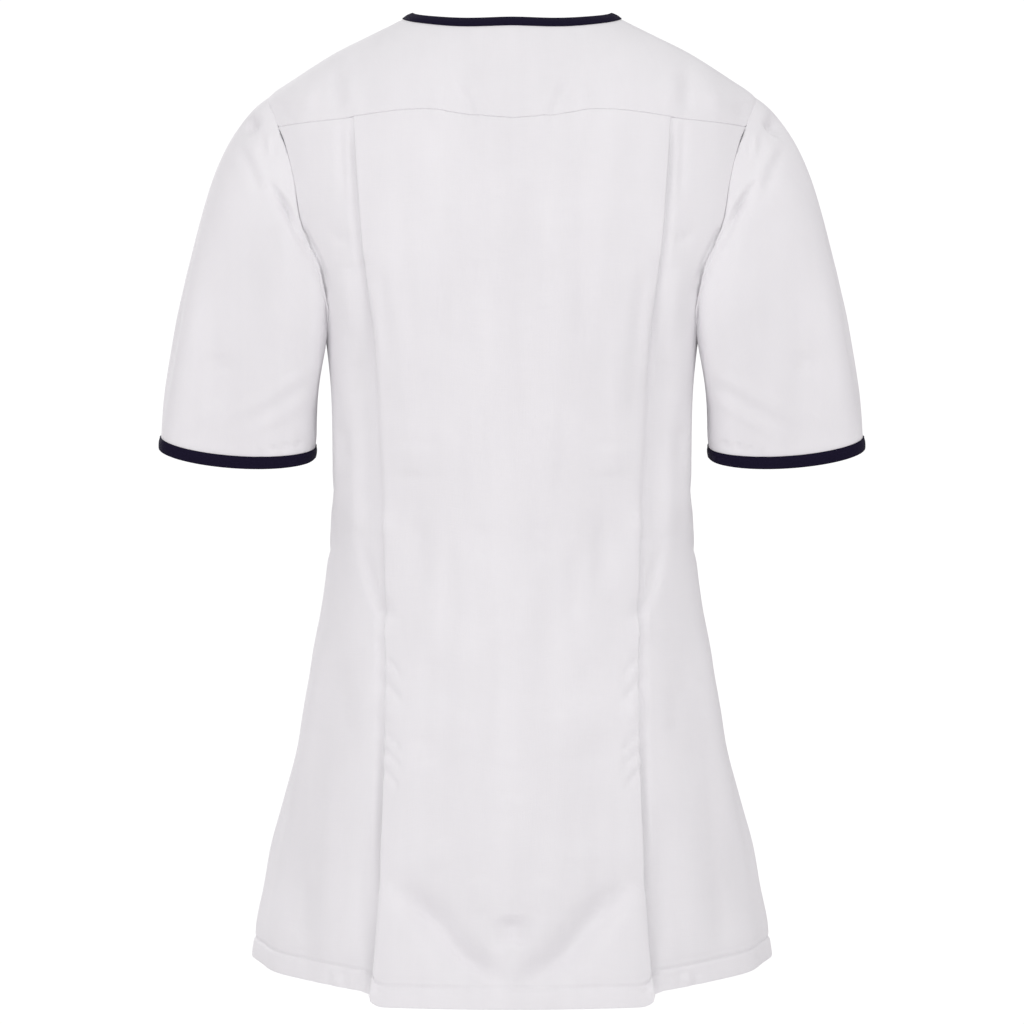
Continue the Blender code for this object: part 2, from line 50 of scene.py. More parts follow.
LAYER = 0.0011              # from the middle of one pleat layer to the next
PLEAT_STEP = 0.011          # spacing of the panel columns beside a pleat edge
PLEAT_TUCK = 0.0015         # the side panel stays down this far past the pleat edge
PLEAT_FLAT = 0.009          # and is level again here
NECK_HALF_WIDTH = 0.0755
NECK_DIP = {"back": (0.0095, 1.0), "front": (0.075, 1.3)}       # at the centre, and roundness
COLLAR_WIDTH = 0.012        # of the zone whose rows follow the neck edge
COLLAR_CORNER = {"out": 0.0070, "back": 0.0040}     # its corner, from the side of the neck
UNDERARM_Z = -0.235
SHOULDER_TIP_Z = -0.064
ARMHOLE_TURN = {"back": 32.5, "front": 35.0}        # degrees that its seam comes in
HEM_Z = -0.7110
HEM_DROP_AT_PLEAT = 0.0175
HEM_DROP_BEND = 1.15
CENTRE_BACK_EXTRA = 0.0075  # the centre panel hangs this much lower
CENTRE_CORNER = 0.007       # height of its rounded lower corners
PLEAT_OPEN = 0.0050         # its lower end stands off by this, over the last rows
PLEAT_OPEN_ROWS = 4
NECK_CROWDING = 1.25        # how much closer the columns lie beside the neck
NECK_COLUMNS = 7
SHOULDER_COLUMNS = 6
HALF_COLUMNS = NECK_COLUMNS + SHOULDER_COLUMNS
OPENING_COLUMN = 2
OPENING_TUCK = 0.2          # the under front stays down for this share of the next column
ARM_STEPS = 12              # armhole steps run from the shoulder tip to the underarm
YOKE_STEPS = 3              # down to the yoke seam and the front's chest line
COLLAR_STEP = 0.5
SKIRT_ROWS = 9
LAST_ROW = ARM_STEPS + SKIRT_ROWS

RINGS = {
    "columns": ("z", "half_width", "back", "front", "square_back", "square_front"),
    "rows": (
        (0.046, 0.0000, 0.020, 0.020, 2.00, 2.00),
        (0.000, 0.0755, 0.046, 0.044, 2.00, 2.00),
        (-0.020, 0.1105, 0.062, 0.050, 2.00, 2.00),
        (-0.035, 0.1395, 0.072, 0.055, 2.00, 2.00),
        (-0.050, 0.1645, 0.080, 0.061, 2.00, 2.00),
        (-0.064, 0.1840, 0.086, 0.067, 2.00, 2.00),
        (-0.080, 0.1890, 0.091, 0.074, 2.05, 2.05),
        (-0.100, 0.1890, 0.096, 0.083, 2.15, 2.10),
        (-0.150, 0.1815, 0.103, 0.106, 2.45, 2.20),
        (-0.200, 0.1600, 0.1045, 0.123, 2.95, 2.25),
        (-0.235, 0.1435, 0.102, 0.130, 3.30, 2.30),
        (-0.270, 0.1375, 0.098, 0.130, 3.15, 2.30),
        (-0.320, 0.1352, 0.092, 0.121, 2.70, 2.25),
        (-0.370, 0.1367, 0.089, 0.112, 2.40, 2.20),
        (-0.420, 0.1410, 0.094, 0.111, 2.25, 2.20),
        (-0.480, 0.1500, 0.106, 0.117, 2.20, 2.20),
        (-0.540, 0.1608, 0.118, 0.126, 2.15, 2.15),
        (-0.600, 0.1735, 0.128, 0.133, 2.15, 2.15),
        (-0.660, 0.1860, 0.135, 0.139, 2.15, 2.15),
        (-0.695, 0.1925, 0.139, 0.142, 2.15, 2.15),
        (-0.720, 0.1932, 0.141, 0.144, 2.10, 2.10),
        (-0.740, 0.1935, 0.143, 0.145, 2.10, 2.10),
    ),
}
YOKE_SEAM = {
    "columns": ("x", "z"),
    "rows": (
        (0.0000, -0.0873),
        (0.0304, -0.0847),
        (0.0671, -0.0796),
        (0.1172, -0.0845),
        (0.1264, -0.0858),
        (0.1777, -0.0890),
    ),
}
PLEAT_EDGE = {
    "columns": ("z", "x"),
    "rows": (
        (-0.0845, 0.1172),
        (-0.1926, 0.1094),
        (-0.2947, 0.1003),
        (-0.3682, 0.0960),
        (-0.5137, 0.0927),
        (-0.6215, 0.0944),
        (-0.7400, 0.1020),
    ),
}
FRONT_OPENING = {
    "columns": ("z", "x"),
    "rows": (
        (-0.1000, 0.0610),
        (-0.2200, 0.0700),
        (-0.3700, 0.0730),
        (-0.5500, 0.0790),
        (-0.7400, 0.0870),
    ),
}
CHEST_LINE_Z = {"centre": -0.108, "armhole": -0.089}
SLEEVE = {
    "outer": {"leave": 34.0, "arrive": 82.6, "leave_pull": 0.0566, "arrive_pull": 0.1486},
    "inner": {"leave": 86.0, "arrive": 84.0, "leave_pull": 0.0300, "arrive_pull": 0.0300},
}
SLEEVE_BILLOW = {"back": 0.56, "front": -0.42}
SLEEVE_FORWARD = -0.16
CUFF = {"x": 0.2083, "y": -0.014, "z": -0.331, "half_width": 0.0575, "half_depth": 0.0530}
CUFF_SQUARE = 4.6
CUFF_RISE = {"outwards": 0.07, "forwards": 0.23}

# ---------------------------------------------------------------- sizes of the look

CLOTH = 0.0005              # thickness that shows
TAPE = 0.0006
STEP = 0.0027               # spacing of a sheet's rows
FINE_STEP = 0.0011          # and of those near its hem
FINE_HEIGHT = 0.022         # the rows lie closer this far up from a hem
YOKE_ROWS = 36
COLUMN_STEPS = {            # spacings of a sheet's lines, in columns, from the centre out
    "yoke": {"neck": 0.14, "shoulder": 0.15},
    "centre_back": {"middle": 0.15, "pleat": 0.125},
    "side_back": {"under": 0.33, "beside": 0.11, "out": 0.1},
    "front_over": {"middle": 0.075, "out": 0.145},
    "front_under": {"under": 0.09, "beside": 0.12, "out": 0.145},
}
SAMPLES = {"ridge": 2000, "neck": 400, "sleeve": 300}   # on curves that are measured
CHEST_PASSES = 6            # rounds of a search that settles
HALVINGS = 30               # and of one that halves its range
HEM_HEIGHT = {"centre": 0.0150, "side": 0.0145, "front": 0.0150}    # hem stitching above the edge
HEM_FORM = {                # heights of a hem's relief, and how wide each is
    "groove": 0.0013, "groove_width": 0.0015,
    "dent": 0.0003, "dent_above": 0.004, "dent_width": 0.0030,
    "stand": 0.00045, "stand_over": 0.0020,
    "flare": 0.0016,
}
HEM_ROLL = 0.00035
SEAM_HALF_GAP = 0.00026
SEAM_PARTING = 0.0012       # extra gap for each unit of strength over 1
SEAM_ROLL = 0.0006          # radius over which a seam edge turns in
SEAM_ANGLES = (pi / 6, pi / 3, pi / 2)      # of its rows on that turn
SEAM_FLANGE = 0.0050        # seam allowance standing inwards
FLANGE_ROWS = (0.25, 1.0)   # where its rows lie, as shares of it
HALF_TURN = [pi * k / 6 for k in range(1, 7)]       # rows where cloth folds right under
ARMHOLE_OPEN = {            # strength of the armhole seam's edge, by armhole step
    "shoulder": 0.05, "below": 0.38, "from": 2.9, "over": 0.3,
    "wider": 0.75, "at": 3.45, "reach": 0.60,
}
SHOULDER_OPEN = {"neck": 0.12, "from": 0.3, "over": 0.4}    # and of a front's top edge
PLEAT_WIDTH = 0.022         # of the cloth folded under at each pleat
PLEAT_PRESS = {"share": 0.3, "rows": 1.5}       # the layers lie closer at the yoke seam
PLEAT_GROOVE = {            # extra depth of the side panel beside the pleat edge
    "columns": ("z", "depth"),
    "rows": (
        (-0.0845, 0.0012),
        (-0.2000, 0.0006),
        (-0.4300, 0.0010),
        (-0.4600, 0.0000),
        (-0.5300, 0.0000),
        (-0.5700, 0.0010),
        (-0.6400, 0.0008),
        (-0.7400, 0.0000),
    ),
}
PLEAT_GROOVE_COLUMNS = 0.3  # and how many columns wide it is
PLEAT_OPEN_BEND = 1.5
FRONT_SINK = {"neck": 0.0030, "below": 0.0024, "rows": 2.0}     # of the underlapping front
OPENING_STITCH = 0.007      # stitching along the front opening
OPENING_FACING = 0.012
OPENING_RELIEF = 0.45       # height of the opening's edge, as a share of a hem's
SLEEVE_LINES = 208
SLEEVE_RINGS = 132
SLEEVE_CROWDING = 1.25      # how much closer its rings lie at the armhole
BACK_CROWDING = 0.4         # and its lines on the back
SLEEVE_PROUD = 0.0002       # how far its seam lies off the form
UNDERARM_CLEAR = 0.0006     # and how much more at the underarm
SLEEVE_LAP = {              # where it folds over its own seam: armhole steps, then metres
    "from": 5.9, "rise": 2.4, "to": 9.8, "fall": 2.0,
    "turn": 0.005, "length": 0.086, "move": (-0.0098, 0.0010, 0.0),
}
LAP_CLEAR = {"gap": 0.0010, "from_seam": 0.006, "from_side": 0.004}     # off the body below it
SLEEVE_RELIEF = {"from_seam": 0.016, "at_cuff": 0.35, "above_cuff": 0.02, "of_seam": 0.03}
BINDING_REACH = 0.0078
BINDING_ROWS = {"outer": 9, "inner": 6}
BINDING_STAND = 0.0010      # middle of the tape above the middle of the cloth
BINDING_CROWN = 0.00035     # how far its outer leg bulges
BINDING_EDGE = {"past": 0.0002, "stand": 0.0004}    # the outer leg's turned-in sewn edge
BINDING_STITCH = 0.0066
BINDING_GROOVE = {"depth": 0.0003, "width": 0.0007}
NECK_TAPE_ENDS = {"over": 0.04, "under": -0.4}      # in columns from the opening
NECK_TAPE_LINES = {"over": 20, "front": 70, "back": 60, "under": 60}
NECK_TURN = {"columns": 1.2, "step": 0.02}          # it turns to follow the shoulder ridge
STITCH_STAND = 0.0010
STITCH = {"pitch": 0.0031, "length": 0.0026, "radius": 0.00019}
STITCH_RINGS = (            # place along the stitch, width and height, as shares
    (-0.5, 0.25, -0.6),
    (-0.3, 1.0, 0.35),
    (0.3, 1.0, 0.35),
    (0.5, 0.25, -0.6),
)
UNEVEN = {                  # waves of the cloth's soft unevenness
    "waves": 26, "shortest": 0.050, "longest": 0.160, "slope": 0.0036, "upright": 0.45,
    "above": 0.55, "below": 1.15, "from": 0.08, "over": 0.5,
}
UNEVEN_SEED = {"body": 5, "sleeve": 8}
CENTRE_BLEND = 0.010        # the mirrored unevenness is rounded this near the centre line
FACING = {"from": 0.05, "over": 0.45}           # a face's folds fade out where it turns away
SIDE_FOLDS_BELOW = {"from": 0.22, "over": 0.03}
FOLD_END = {"height": 0.25, "share": 0.3}       # a fold's ends are lower, over this share
FOLD_REACH = 3              # in half widths, beyond which a fold is left out

# ---------------------------------------------------------------- colours, light and camera

# the cloth's colour runs between these two: its slubs and fine mottle, and its streaks of painted shade
CLOTH_DARK = (0.825, 0.816, 0.832)
CLOTH_LIGHT = (0.905, 0.896, 0.912)
TAPE_DARK = (0.006, 0.004, 0.016)
TAPE_LIGHT = (0.011, 0.008, 0.026)
PAINTED_SHADE_SHARE = 0.65          # of the streaks of painted shade in the cloth's colour
RAMP_ENDS = (0.3, 0.7)      # pattern values that give the dark and the light colour
WHITE_THREAD = (0.68, 0.67, 0.69)
DARK_THREAD = (0.030, 0.024, 0.060)
FLOOR_DARK = (0.89, 0.885, 0.89)
FLOOR_LIGHT = (0.91, 0.905, 0.91)
WHITE = (1.0, 1.0, 1.0)
PINKISH = (1.0, 0.97, 0.985)

WORLD = {
    "backdrop": 1.05,
    "strength": 0.772,
    "ramp": ((0.0, (0.70, 0.67, 0.69)), (0.5, (1.0, 0.965, 0.995)), (1.0, (0.68, 0.655, 0.68))),
}
FLOOR = {"radius": 2.9, "z": -1.43, "segments": 96}
AIM = (0.0, 0.0, -0.3)
LAMPS = {
    "key": {"at": (0.0, 1.6, 0.8), "size": (0.7, 0.7), "energy": 6.5, "colour": WHITE},
    "left": {"at": (1.5, 1.4, -0.25), "size": (0.8, 1.2), "energy": 5.6, "colour": PINKISH},
    "right": {"at": (-1.5, 1.4, -0.25), "size": (0.8, 1.2), "energy": 4.8, "colour": PINKISH},
    "front": {"at": (0.9, -1.6, 0.4), "size": (0.8, 0.8), "energy": 11.0, "colour": WHITE},
}
CAMERA = {"at": (0.0, 3.0, -0.377), "towards": (0.0, 0.0, -0.377), "focal_share": 3.867}
SENSOR = 36.0
CLIP_START = 0.1

# ---------------------------------------------------------------- the cut
#
# Each sheet's width across the grain line and length along it, all round on a tube, and
# its area, with the seam flanges, pleat returns and turned-up hems that are made. A name
# with {hand} is a sheet on either side of the wearer, beside the front named {front}.

FRONTS = {"L": "front_left", "R": "front_right"}
CUTS = {
    "yoke": {
        "flat": (0.480, 0.132), "area": 0.0394,
        "rests_on": ("front_right", "front_left"), "sewn": (),
    },
    "centre_back": {
        "flat": (0.285, 0.690), "area": 0.1723,
        "rests_on": ("yoke", "side_back_L", "side_back_R"), "sewn": ("stitches_centre_back",),
    },
    "side_back_{hand}": {
        "flat": (0.193, 0.706), "area": 0.0874,
        "rests_on": ("yoke", "{front}"), "sewn": ("stitches_side_back_{hand}",),
    },
    "front_right": {
        "flat": (0.378, 0.784), "area": 0.2135,
        "rests_on": ("yoke", "front_left"), "sewn": ("stitches_front_right", "stitches_opening"),
    },
    "front_left": {
        "flat": (0.248, 0.784), "area": 0.1281,
        "rests_on": ("yoke", "side_back_L"), "sewn": ("stitches_front_left",),
    },
    "sleeve_cloth_{hand}": {
        "flat": (0.513, 0.284), "area": 0.0808,
        "rests_on": ("yoke", "side_back_{hand}", "{front}"), "sewn": (),
    },
    "neck_tape": {
        "flat": (0.554, 0.0195), "area": 0.0102,
        "rests_on": ("yoke", "front_right", "front_left"), "sewn": ("neck_stitches",),
    },
    "cuff_tape_{hand}": {
        "flat": (0.409, 0.0194), "area": 0.0077,
        "rests_on": ("sleeve_cloth_{hand}",), "sewn": ("cuff_stitches_{hand}",),
    },
}


# ---------------------------------------------------------------- the form, on arrays

def read_table(table, x, name):
    """Smooth value of the named column of a table, at x of its first column."""
    data = np.array(sorted(table["rows"]))
    at, value = data[:, 0], data[:, table["columns"].index(name)]
    slope = np.gradient(value)
    slope[1:-1] = (value[2:] - value[:-2]) / (at[2:] - at[:-2])
    slope[0] = (value[1] - value[0]) / (at[1] - at[0])
    slope[-1] = (value[-1] - value[-2]) / (at[-1] - at[-2])
    x = np.clip(x, at[0], at[-1])
    k = np.clip(np.searchsorted(at, x) - 1, 0, len(at) - 2)
    step = at[k + 1] - at[k]
    t = (x - at[k]) / step
    return (
        value[k] * (1 + 2 * t) * (1 - t) ** 2
        + value[k + 1] * t * t * (3 - 2 * t)
        + slope[k] * step * t * (1 - t) ** 2
        - slope[k + 1] * step * t * t * (1 - t)
    )


def lerp(a, b, t):
    return a + (b - a) * t


def smooth(t):
    t = np.clip(t, 0.0, 1.0)
    return t * t * (3 - 2 * t)


def unit(vectors):
    return vectors / np.maximum(np.linalg.norm(vectors, axis=-1, keepdims=True), 1e-12)


def arc_lengths(points, axis):
    """How far along its row or column each point of a grid lies."""
    steps = np.linalg.norm(np.diff(points, axis=axis), axis=-1)
    first = np.zeros_like(np.take(steps, [0], axis=axis))
    return np.concatenate([first, np.cumsum(steps, axis=axis)], axis=axis)


def sampled(at, known, values):
    """Points or directions at places along a line, whose own points are at the known ones."""
    return np.stack([np.interp(at, known, values[:, k]) for k in range(3)], axis=-1)


def mirrored(values):
    """The same points or directions on the wearer's other side."""
    return values * np.array([-1.0, 1.0, 1.0])


def on_hand(sheet, hand):
    """The points and normals of a left piece, or their mirror image for a right one."""
    return tuple(mirrored(array) for array in sheet) if hand == "R" else sheet


def ring(z, side):
    """Half width, depth and squareness of the form's ring at a height."""
    return tuple(read_table(RINGS, z, name) for name in ("half_width", side, "square_" + side))


def squared(value, square):
    """A sine or cosine, changed so that it gives a squarer ring."""
    return np.abs(value) ** (2 / square) * np.sign(value)


def on_body(turn, z, side):
    """Points of the form; turn is the angle round the ring from the centre line."""
    turn, z = np.broadcast_arrays(turn, z)
    width, depth, square = ring(z, side)
    x = width * squared(np.sin(turn), square)
    y = depth * squared(np.maximum(np.cos(turn), 0.0), square)
    return np.stack([x, y if side == "back" else -y, z], axis=-1)


def turn_at(x, z, side):
    """Angle round the ring of the form's point at x and z."""
    width, _, square = ring(z, side)
    share = np.minimum(np.abs(x) / np.maximum(width, 1e-9), 1.0)
    return np.arcsin(share ** (square / 2)) * np.where(np.asarray(x) < 0, -1.0, 1.0)


def normal_at(turn, z, side):
    """Outward normals of the form."""
    step = 0.002
    turn = np.minimum(turn, pi / 2 - step)
    across = on_body(turn + step, z, side) - on_body(turn - step, z, side)
    down = on_body(turn, z - step, side) - on_body(turn, z + step, side)
    normal = unit(np.cross(across, down))
    return normal if side == "back" else -normal


RIDGE_HEIGHTS = np.linspace(RINGS["rows"][0][0], SHOULDER_TIP_Z, SAMPLES["ridge"])
RIDGE_WIDTHS = read_table(RINGS, RIDGE_HEIGHTS, "half_width")


def ridge_z(x):
    """Height of the shoulder ridge, where the form is exactly that wide."""
    return np.interp(np.abs(x), RIDGE_WIDTHS, RIDGE_HEIGHTS)


# ---------------------------------------------------------------- seam and edge lines

def armhole_point(step, side):
    """Points of the armhole seam, from 0 at the shoulder tip to ARM_STEPS below."""
    angle = pi * np.asarray(step, float) / ARM_STEPS
    z = lerp(SHOULDER_TIP_Z, UNDERARM_Z, (1 - np.cos(angle)) / 2)
    turn = np.radians(90.0 - ARMHOLE_TURN[side] * np.sin(angle))
    return on_body(turn, z, side)


def neck_point(column, side):
    """x and z of the neck edge, from the centre to its side at NECK_COLUMNS."""
    dip, roundness = NECK_DIP[side]
    angle = np.linspace(0.0, pi / 2, SAMPLES["neck"])
    x, z = NECK_HALF_WIDTH * np.sin(angle), -dip * np.cos(angle) ** roundness
    travelled = arc_lengths(on_body(turn_at(x, z, side), z, side), 0)
    from_side = 1 - np.minimum(column, NECK_COLUMNS) / NECK_COLUMNS
    at = np.interp(travelled[-1] * (1 - from_side ** NECK_CROWDING), travelled, angle)
    return NECK_HALF_WIDTH * np.sin(at), -dip * np.cos(at) ** roundness


def top_point(column, side):
    """x and z of the upper edge of a panel column: neck edge, then shoulder ridge."""
    neck_x, neck_z = neck_point(column, side)
    tip = armhole_point(0, side)[..., 0]
    x = lerp(NECK_HALF_WIDTH, tip, (column - NECK_COLUMNS) / SHOULDER_COLUMNS)
    beyond = column > NECK_COLUMNS
    return np.where(beyond, x, neck_x), np.where(beyond, ridge_z(x), neck_z)


def pleat_x(column, z):
    """x of the back columns about the pleat edge, which is column NECK_COLUMNS."""
    edge = read_table(PLEAT_EDGE, z, "x")
    from_edge = column - NECK_COLUMNS
    inside = (edge - 2 * PLEAT_STEP) * column / (NECK_COLUMNS - 2)
    beside = np.where(from_edge > 0, edge + PLEAT_FLAT * from_edge, edge + PLEAT_STEP * from_edge)
    return np.where(from_edge < -2, inside, beside)


def inner_x(column, z, side):
    """x at a height of the columns that a pleat or the opening holds."""
    if side == "back":
        return pleat_x(column, z)
    return read_table(FRONT_OPENING, z, "x") * column / OPENING_COLUMN


def first_free(side):
    """The last of those columns, past which the columns are evenly spaced."""
    return OPENING_COLUMN if side == "front" else NECK_COLUMNS + 1


def chest_z(x, side):
    """Height where the upper zone of a panel ends: on the back, the yoke seam."""
    if side == "back":
        return read_table(YOKE_SEAM, np.abs(x), "z")
    arm = armhole_point(YOKE_STEPS, side)[0]
    return lerp(CHEST_LINE_Z["centre"], CHEST_LINE_Z["armhole"], np.minimum(np.abs(x) / arm, 1.0) ** 2)


def chest_x(column, side):
    """x of a panel column where the upper zone of the panel ends."""
    first = first_free(side)
    x = np.full(np.shape(column), NECK_HALF_WIDTH)
    for _ in range(CHEST_PASSES):
        x = inner_x(np.minimum(column, first), chest_z(x, side), side)
    arm = armhole_point(YOKE_STEPS, side)
    share = (column - first) / (HALF_COLUMNS - first)
    turn = lerp(turn_at(x, arm[2], side), turn_at(arm[0], arm[2], side), share)
    return np.where(column <= first, x, on_body(np.maximum(turn, 0.0), arm[2], side)[..., 0])


def hem_z(column, side):
    """Height of the hem, which on the back drops towards the pleat."""
    if side == "front":
        return np.full(np.shape(column), HEM_Z)
    towards = np.minimum((HALF_COLUMNS - column) / (HALF_COLUMNS - NECK_COLUMNS), 1.0)
    return HEM_Z - HEM_DROP_AT_PLEAT * towards ** HEM_DROP_BEND


# ---------------------------------------------------------------- panel grids

def spot_over(x, y, side):
    """x and root drop below the ridge of the point of the form at x and y."""
    low, high = np.zeros(np.shape(x)), np.full(np.shape(x), 0.5)
    for _ in range(HALVINGS):
        middle = (low + high) / 2
        z = ridge_z(x) - middle ** 2
        nearer = np.abs(on_body(turn_at(x, z, side), z, side)[..., 1]) < np.abs(y)
        low, high = np.where(nearer, middle, low), np.where(nearer, high, middle)
    return np.stack([x, low], axis=-1)


def neck_edge(column, side):
    x, z = neck_point(column, side)
    return on_body(turn_at(x, z, side), z, side)


def neck_outward(column, side):
    """Direction on the form, square to the neck edge and away from the neck."""
    edge = neck_edge(column, side)
    along = neck_edge(np.minimum(column + 0.1, NECK_COLUMNS), side)
    along = along - neck_edge(np.maximum(column - 0.1, 0), side)
    normal = normal_at(turn_at(edge[..., 0], edge[..., 2], side), edge[..., 2], side)
    outward = unit(np.cross(normal, along))
    return outward * np.where(outward[..., 2:] > 0, -1.0, 1.0)


def collar_spot(column, side):
    """Where a neck column passes the line that runs COLLAR_WIDTH outside the neck edge."""
    column = np.minimum(column, NECK_COLUMNS)
    spot = neck_edge(column, side) + neck_outward(column, side) * COLLAR_WIDTH
    back = COLLAR_CORNER["back"] if side == "back" else -COLLAR_CORNER["back"]
    corner = np.array([NECK_HALF_WIDTH + COLLAR_CORNER["out"], back])
    near = smooth(column - (NECK_COLUMNS - 1))[..., None]
    turned = lerp(spot[..., :2], corner, near)
    return spot_over(turned[..., 0], turned[..., 1], side)


def ridge_drop(x, z):
    """x and root drop below the ridge of the point at x and z."""
    return np.stack([x, np.sqrt(np.maximum(ridge_z(x) - z, 0.0))], axis=-1)


def arm_share(step):
    """Share of the upper zone's drop, square root taken, passed at an armhole step."""
    return np.sqrt((1 - np.cos(pi * step / ARM_STEPS)) / (1 - np.cos(pi * YOKE_STEPS / ARM_STEPS)))


def upper_spots(columns, steps, side):
    """Turn and height of points above the chest line, a row for each armhole step."""
    chest_at = chest_x(columns, side)
    top = ridge_drop(*top_point(columns, side))[None]
    collar = collar_spot(columns, side)[None]
    chest = ridge_drop(chest_at, chest_z(chest_at, side))[None]
    step = steps[:, None, None]
    share = arm_share(step)
    outer = lerp(top, chest, share)
    below = (step - COLLAR_STEP) / (YOKE_STEPS - COLLAR_STEP)
    in_collar = lerp(top, collar, step / COLLAR_STEP)
    inner = np.where(step <= COLLAR_STEP, in_collar, lerp(collar, chest, below))
    spot = lerp(inner, outer, smooth(columns - NECK_COLUMNS)[None, :, None])
    arm = armhole_point(steps, side)
    arm_top, arm_end = armhole_point(0, side), armhole_point(YOKE_STEPS, side)
    straight = lerp(ridge_drop(arm_top[0], arm_top[2]), ridge_drop(arm_end[0], arm_end[2]), share[:, 0])
    bow = ridge_drop(arm[:, 0], arm[:, 2]) - straight
    spot = spot + bow[:, None] * ((columns / HALF_COLUMNS) ** 2)[None, :, None]
    z = ridge_z(spot[..., 0]) - spot[..., 1] ** 2
    return turn_at(spot[..., 0], z, side), z


def lower_spots(columns, rows, side):
    """Turn and height of points from the chest line down."""
    first = first_free(side)
    inner = np.minimum(columns, first)
    share = np.maximum(columns - first, 0) / (HALF_COLUMNS - first)
    chest_arm = armhole_point(YOKE_STEPS, side)
    top_x = chest_x(columns, side)
    top_z = chest_z(top_x, side)
    arm = armhole_point(np.minimum(rows, ARM_STEPS), side)
    fade = np.maximum(ARM_STEPS - rows, 0)[:, None] / (ARM_STEPS - YOKE_STEPS)
    down = ((rows - ARM_STEPS) / SKIRT_ROWS)[:, None]
    beside_arm = arm[:, None, 2] + (top_z - chest_arm[2]) * fade ** 1.5
    z = np.where(down >= 0, lerp(UNDERARM_Z, hem_z(columns, side), down), beside_arm)
    outer = np.where(down >= 0, pi / 2, turn_at(arm[:, 0], arm[:, 2], side)[:, None])
    even = lerp(turn_at(inner_x(inner[None], z, side), z, side), outer, share)
    top_inner = turn_at(inner_x(inner, top_z, side), top_z, side)
    top_even = lerp(top_inner, turn_at(chest_arm[0], chest_arm[2], side), share)
    moved = turn_at(top_x, top_z, side) - top_even
    return np.where(columns <= first, even, even + moved * fade), z


def body_patch(columns, rows, side):
    """Points of the form and its normals on a grid of columns and rows."""
    zones = ((upper_spots, rows[rows < YOKE_STEPS]), (lower_spots, rows[rows >= YOKE_STEPS]))
    parts = [spots(columns, chosen, side) for spots, chosen in zones if len(chosen)]
    turn, z = (np.concatenate(values) for values in zip(*parts))
    return on_body(turn, z, side), normal_at(turn, z, side)


# ---------------------------------------------------------------- folds and creases
#
# Each row is height (over 0 a ridge, under 0 a trough), half width, then the points of its
# path, all in millimetres. A pair of half widths is for the left and the right of the
# path. Points are (x, z) on a back or a front face, and (y, z) on a side of the body and
# on the outer face of a sleeve. On the front x runs to the wearer's left, and elsewhere
# away from the centre line, since the other faces have the same folds left and right.

MM = 0.001

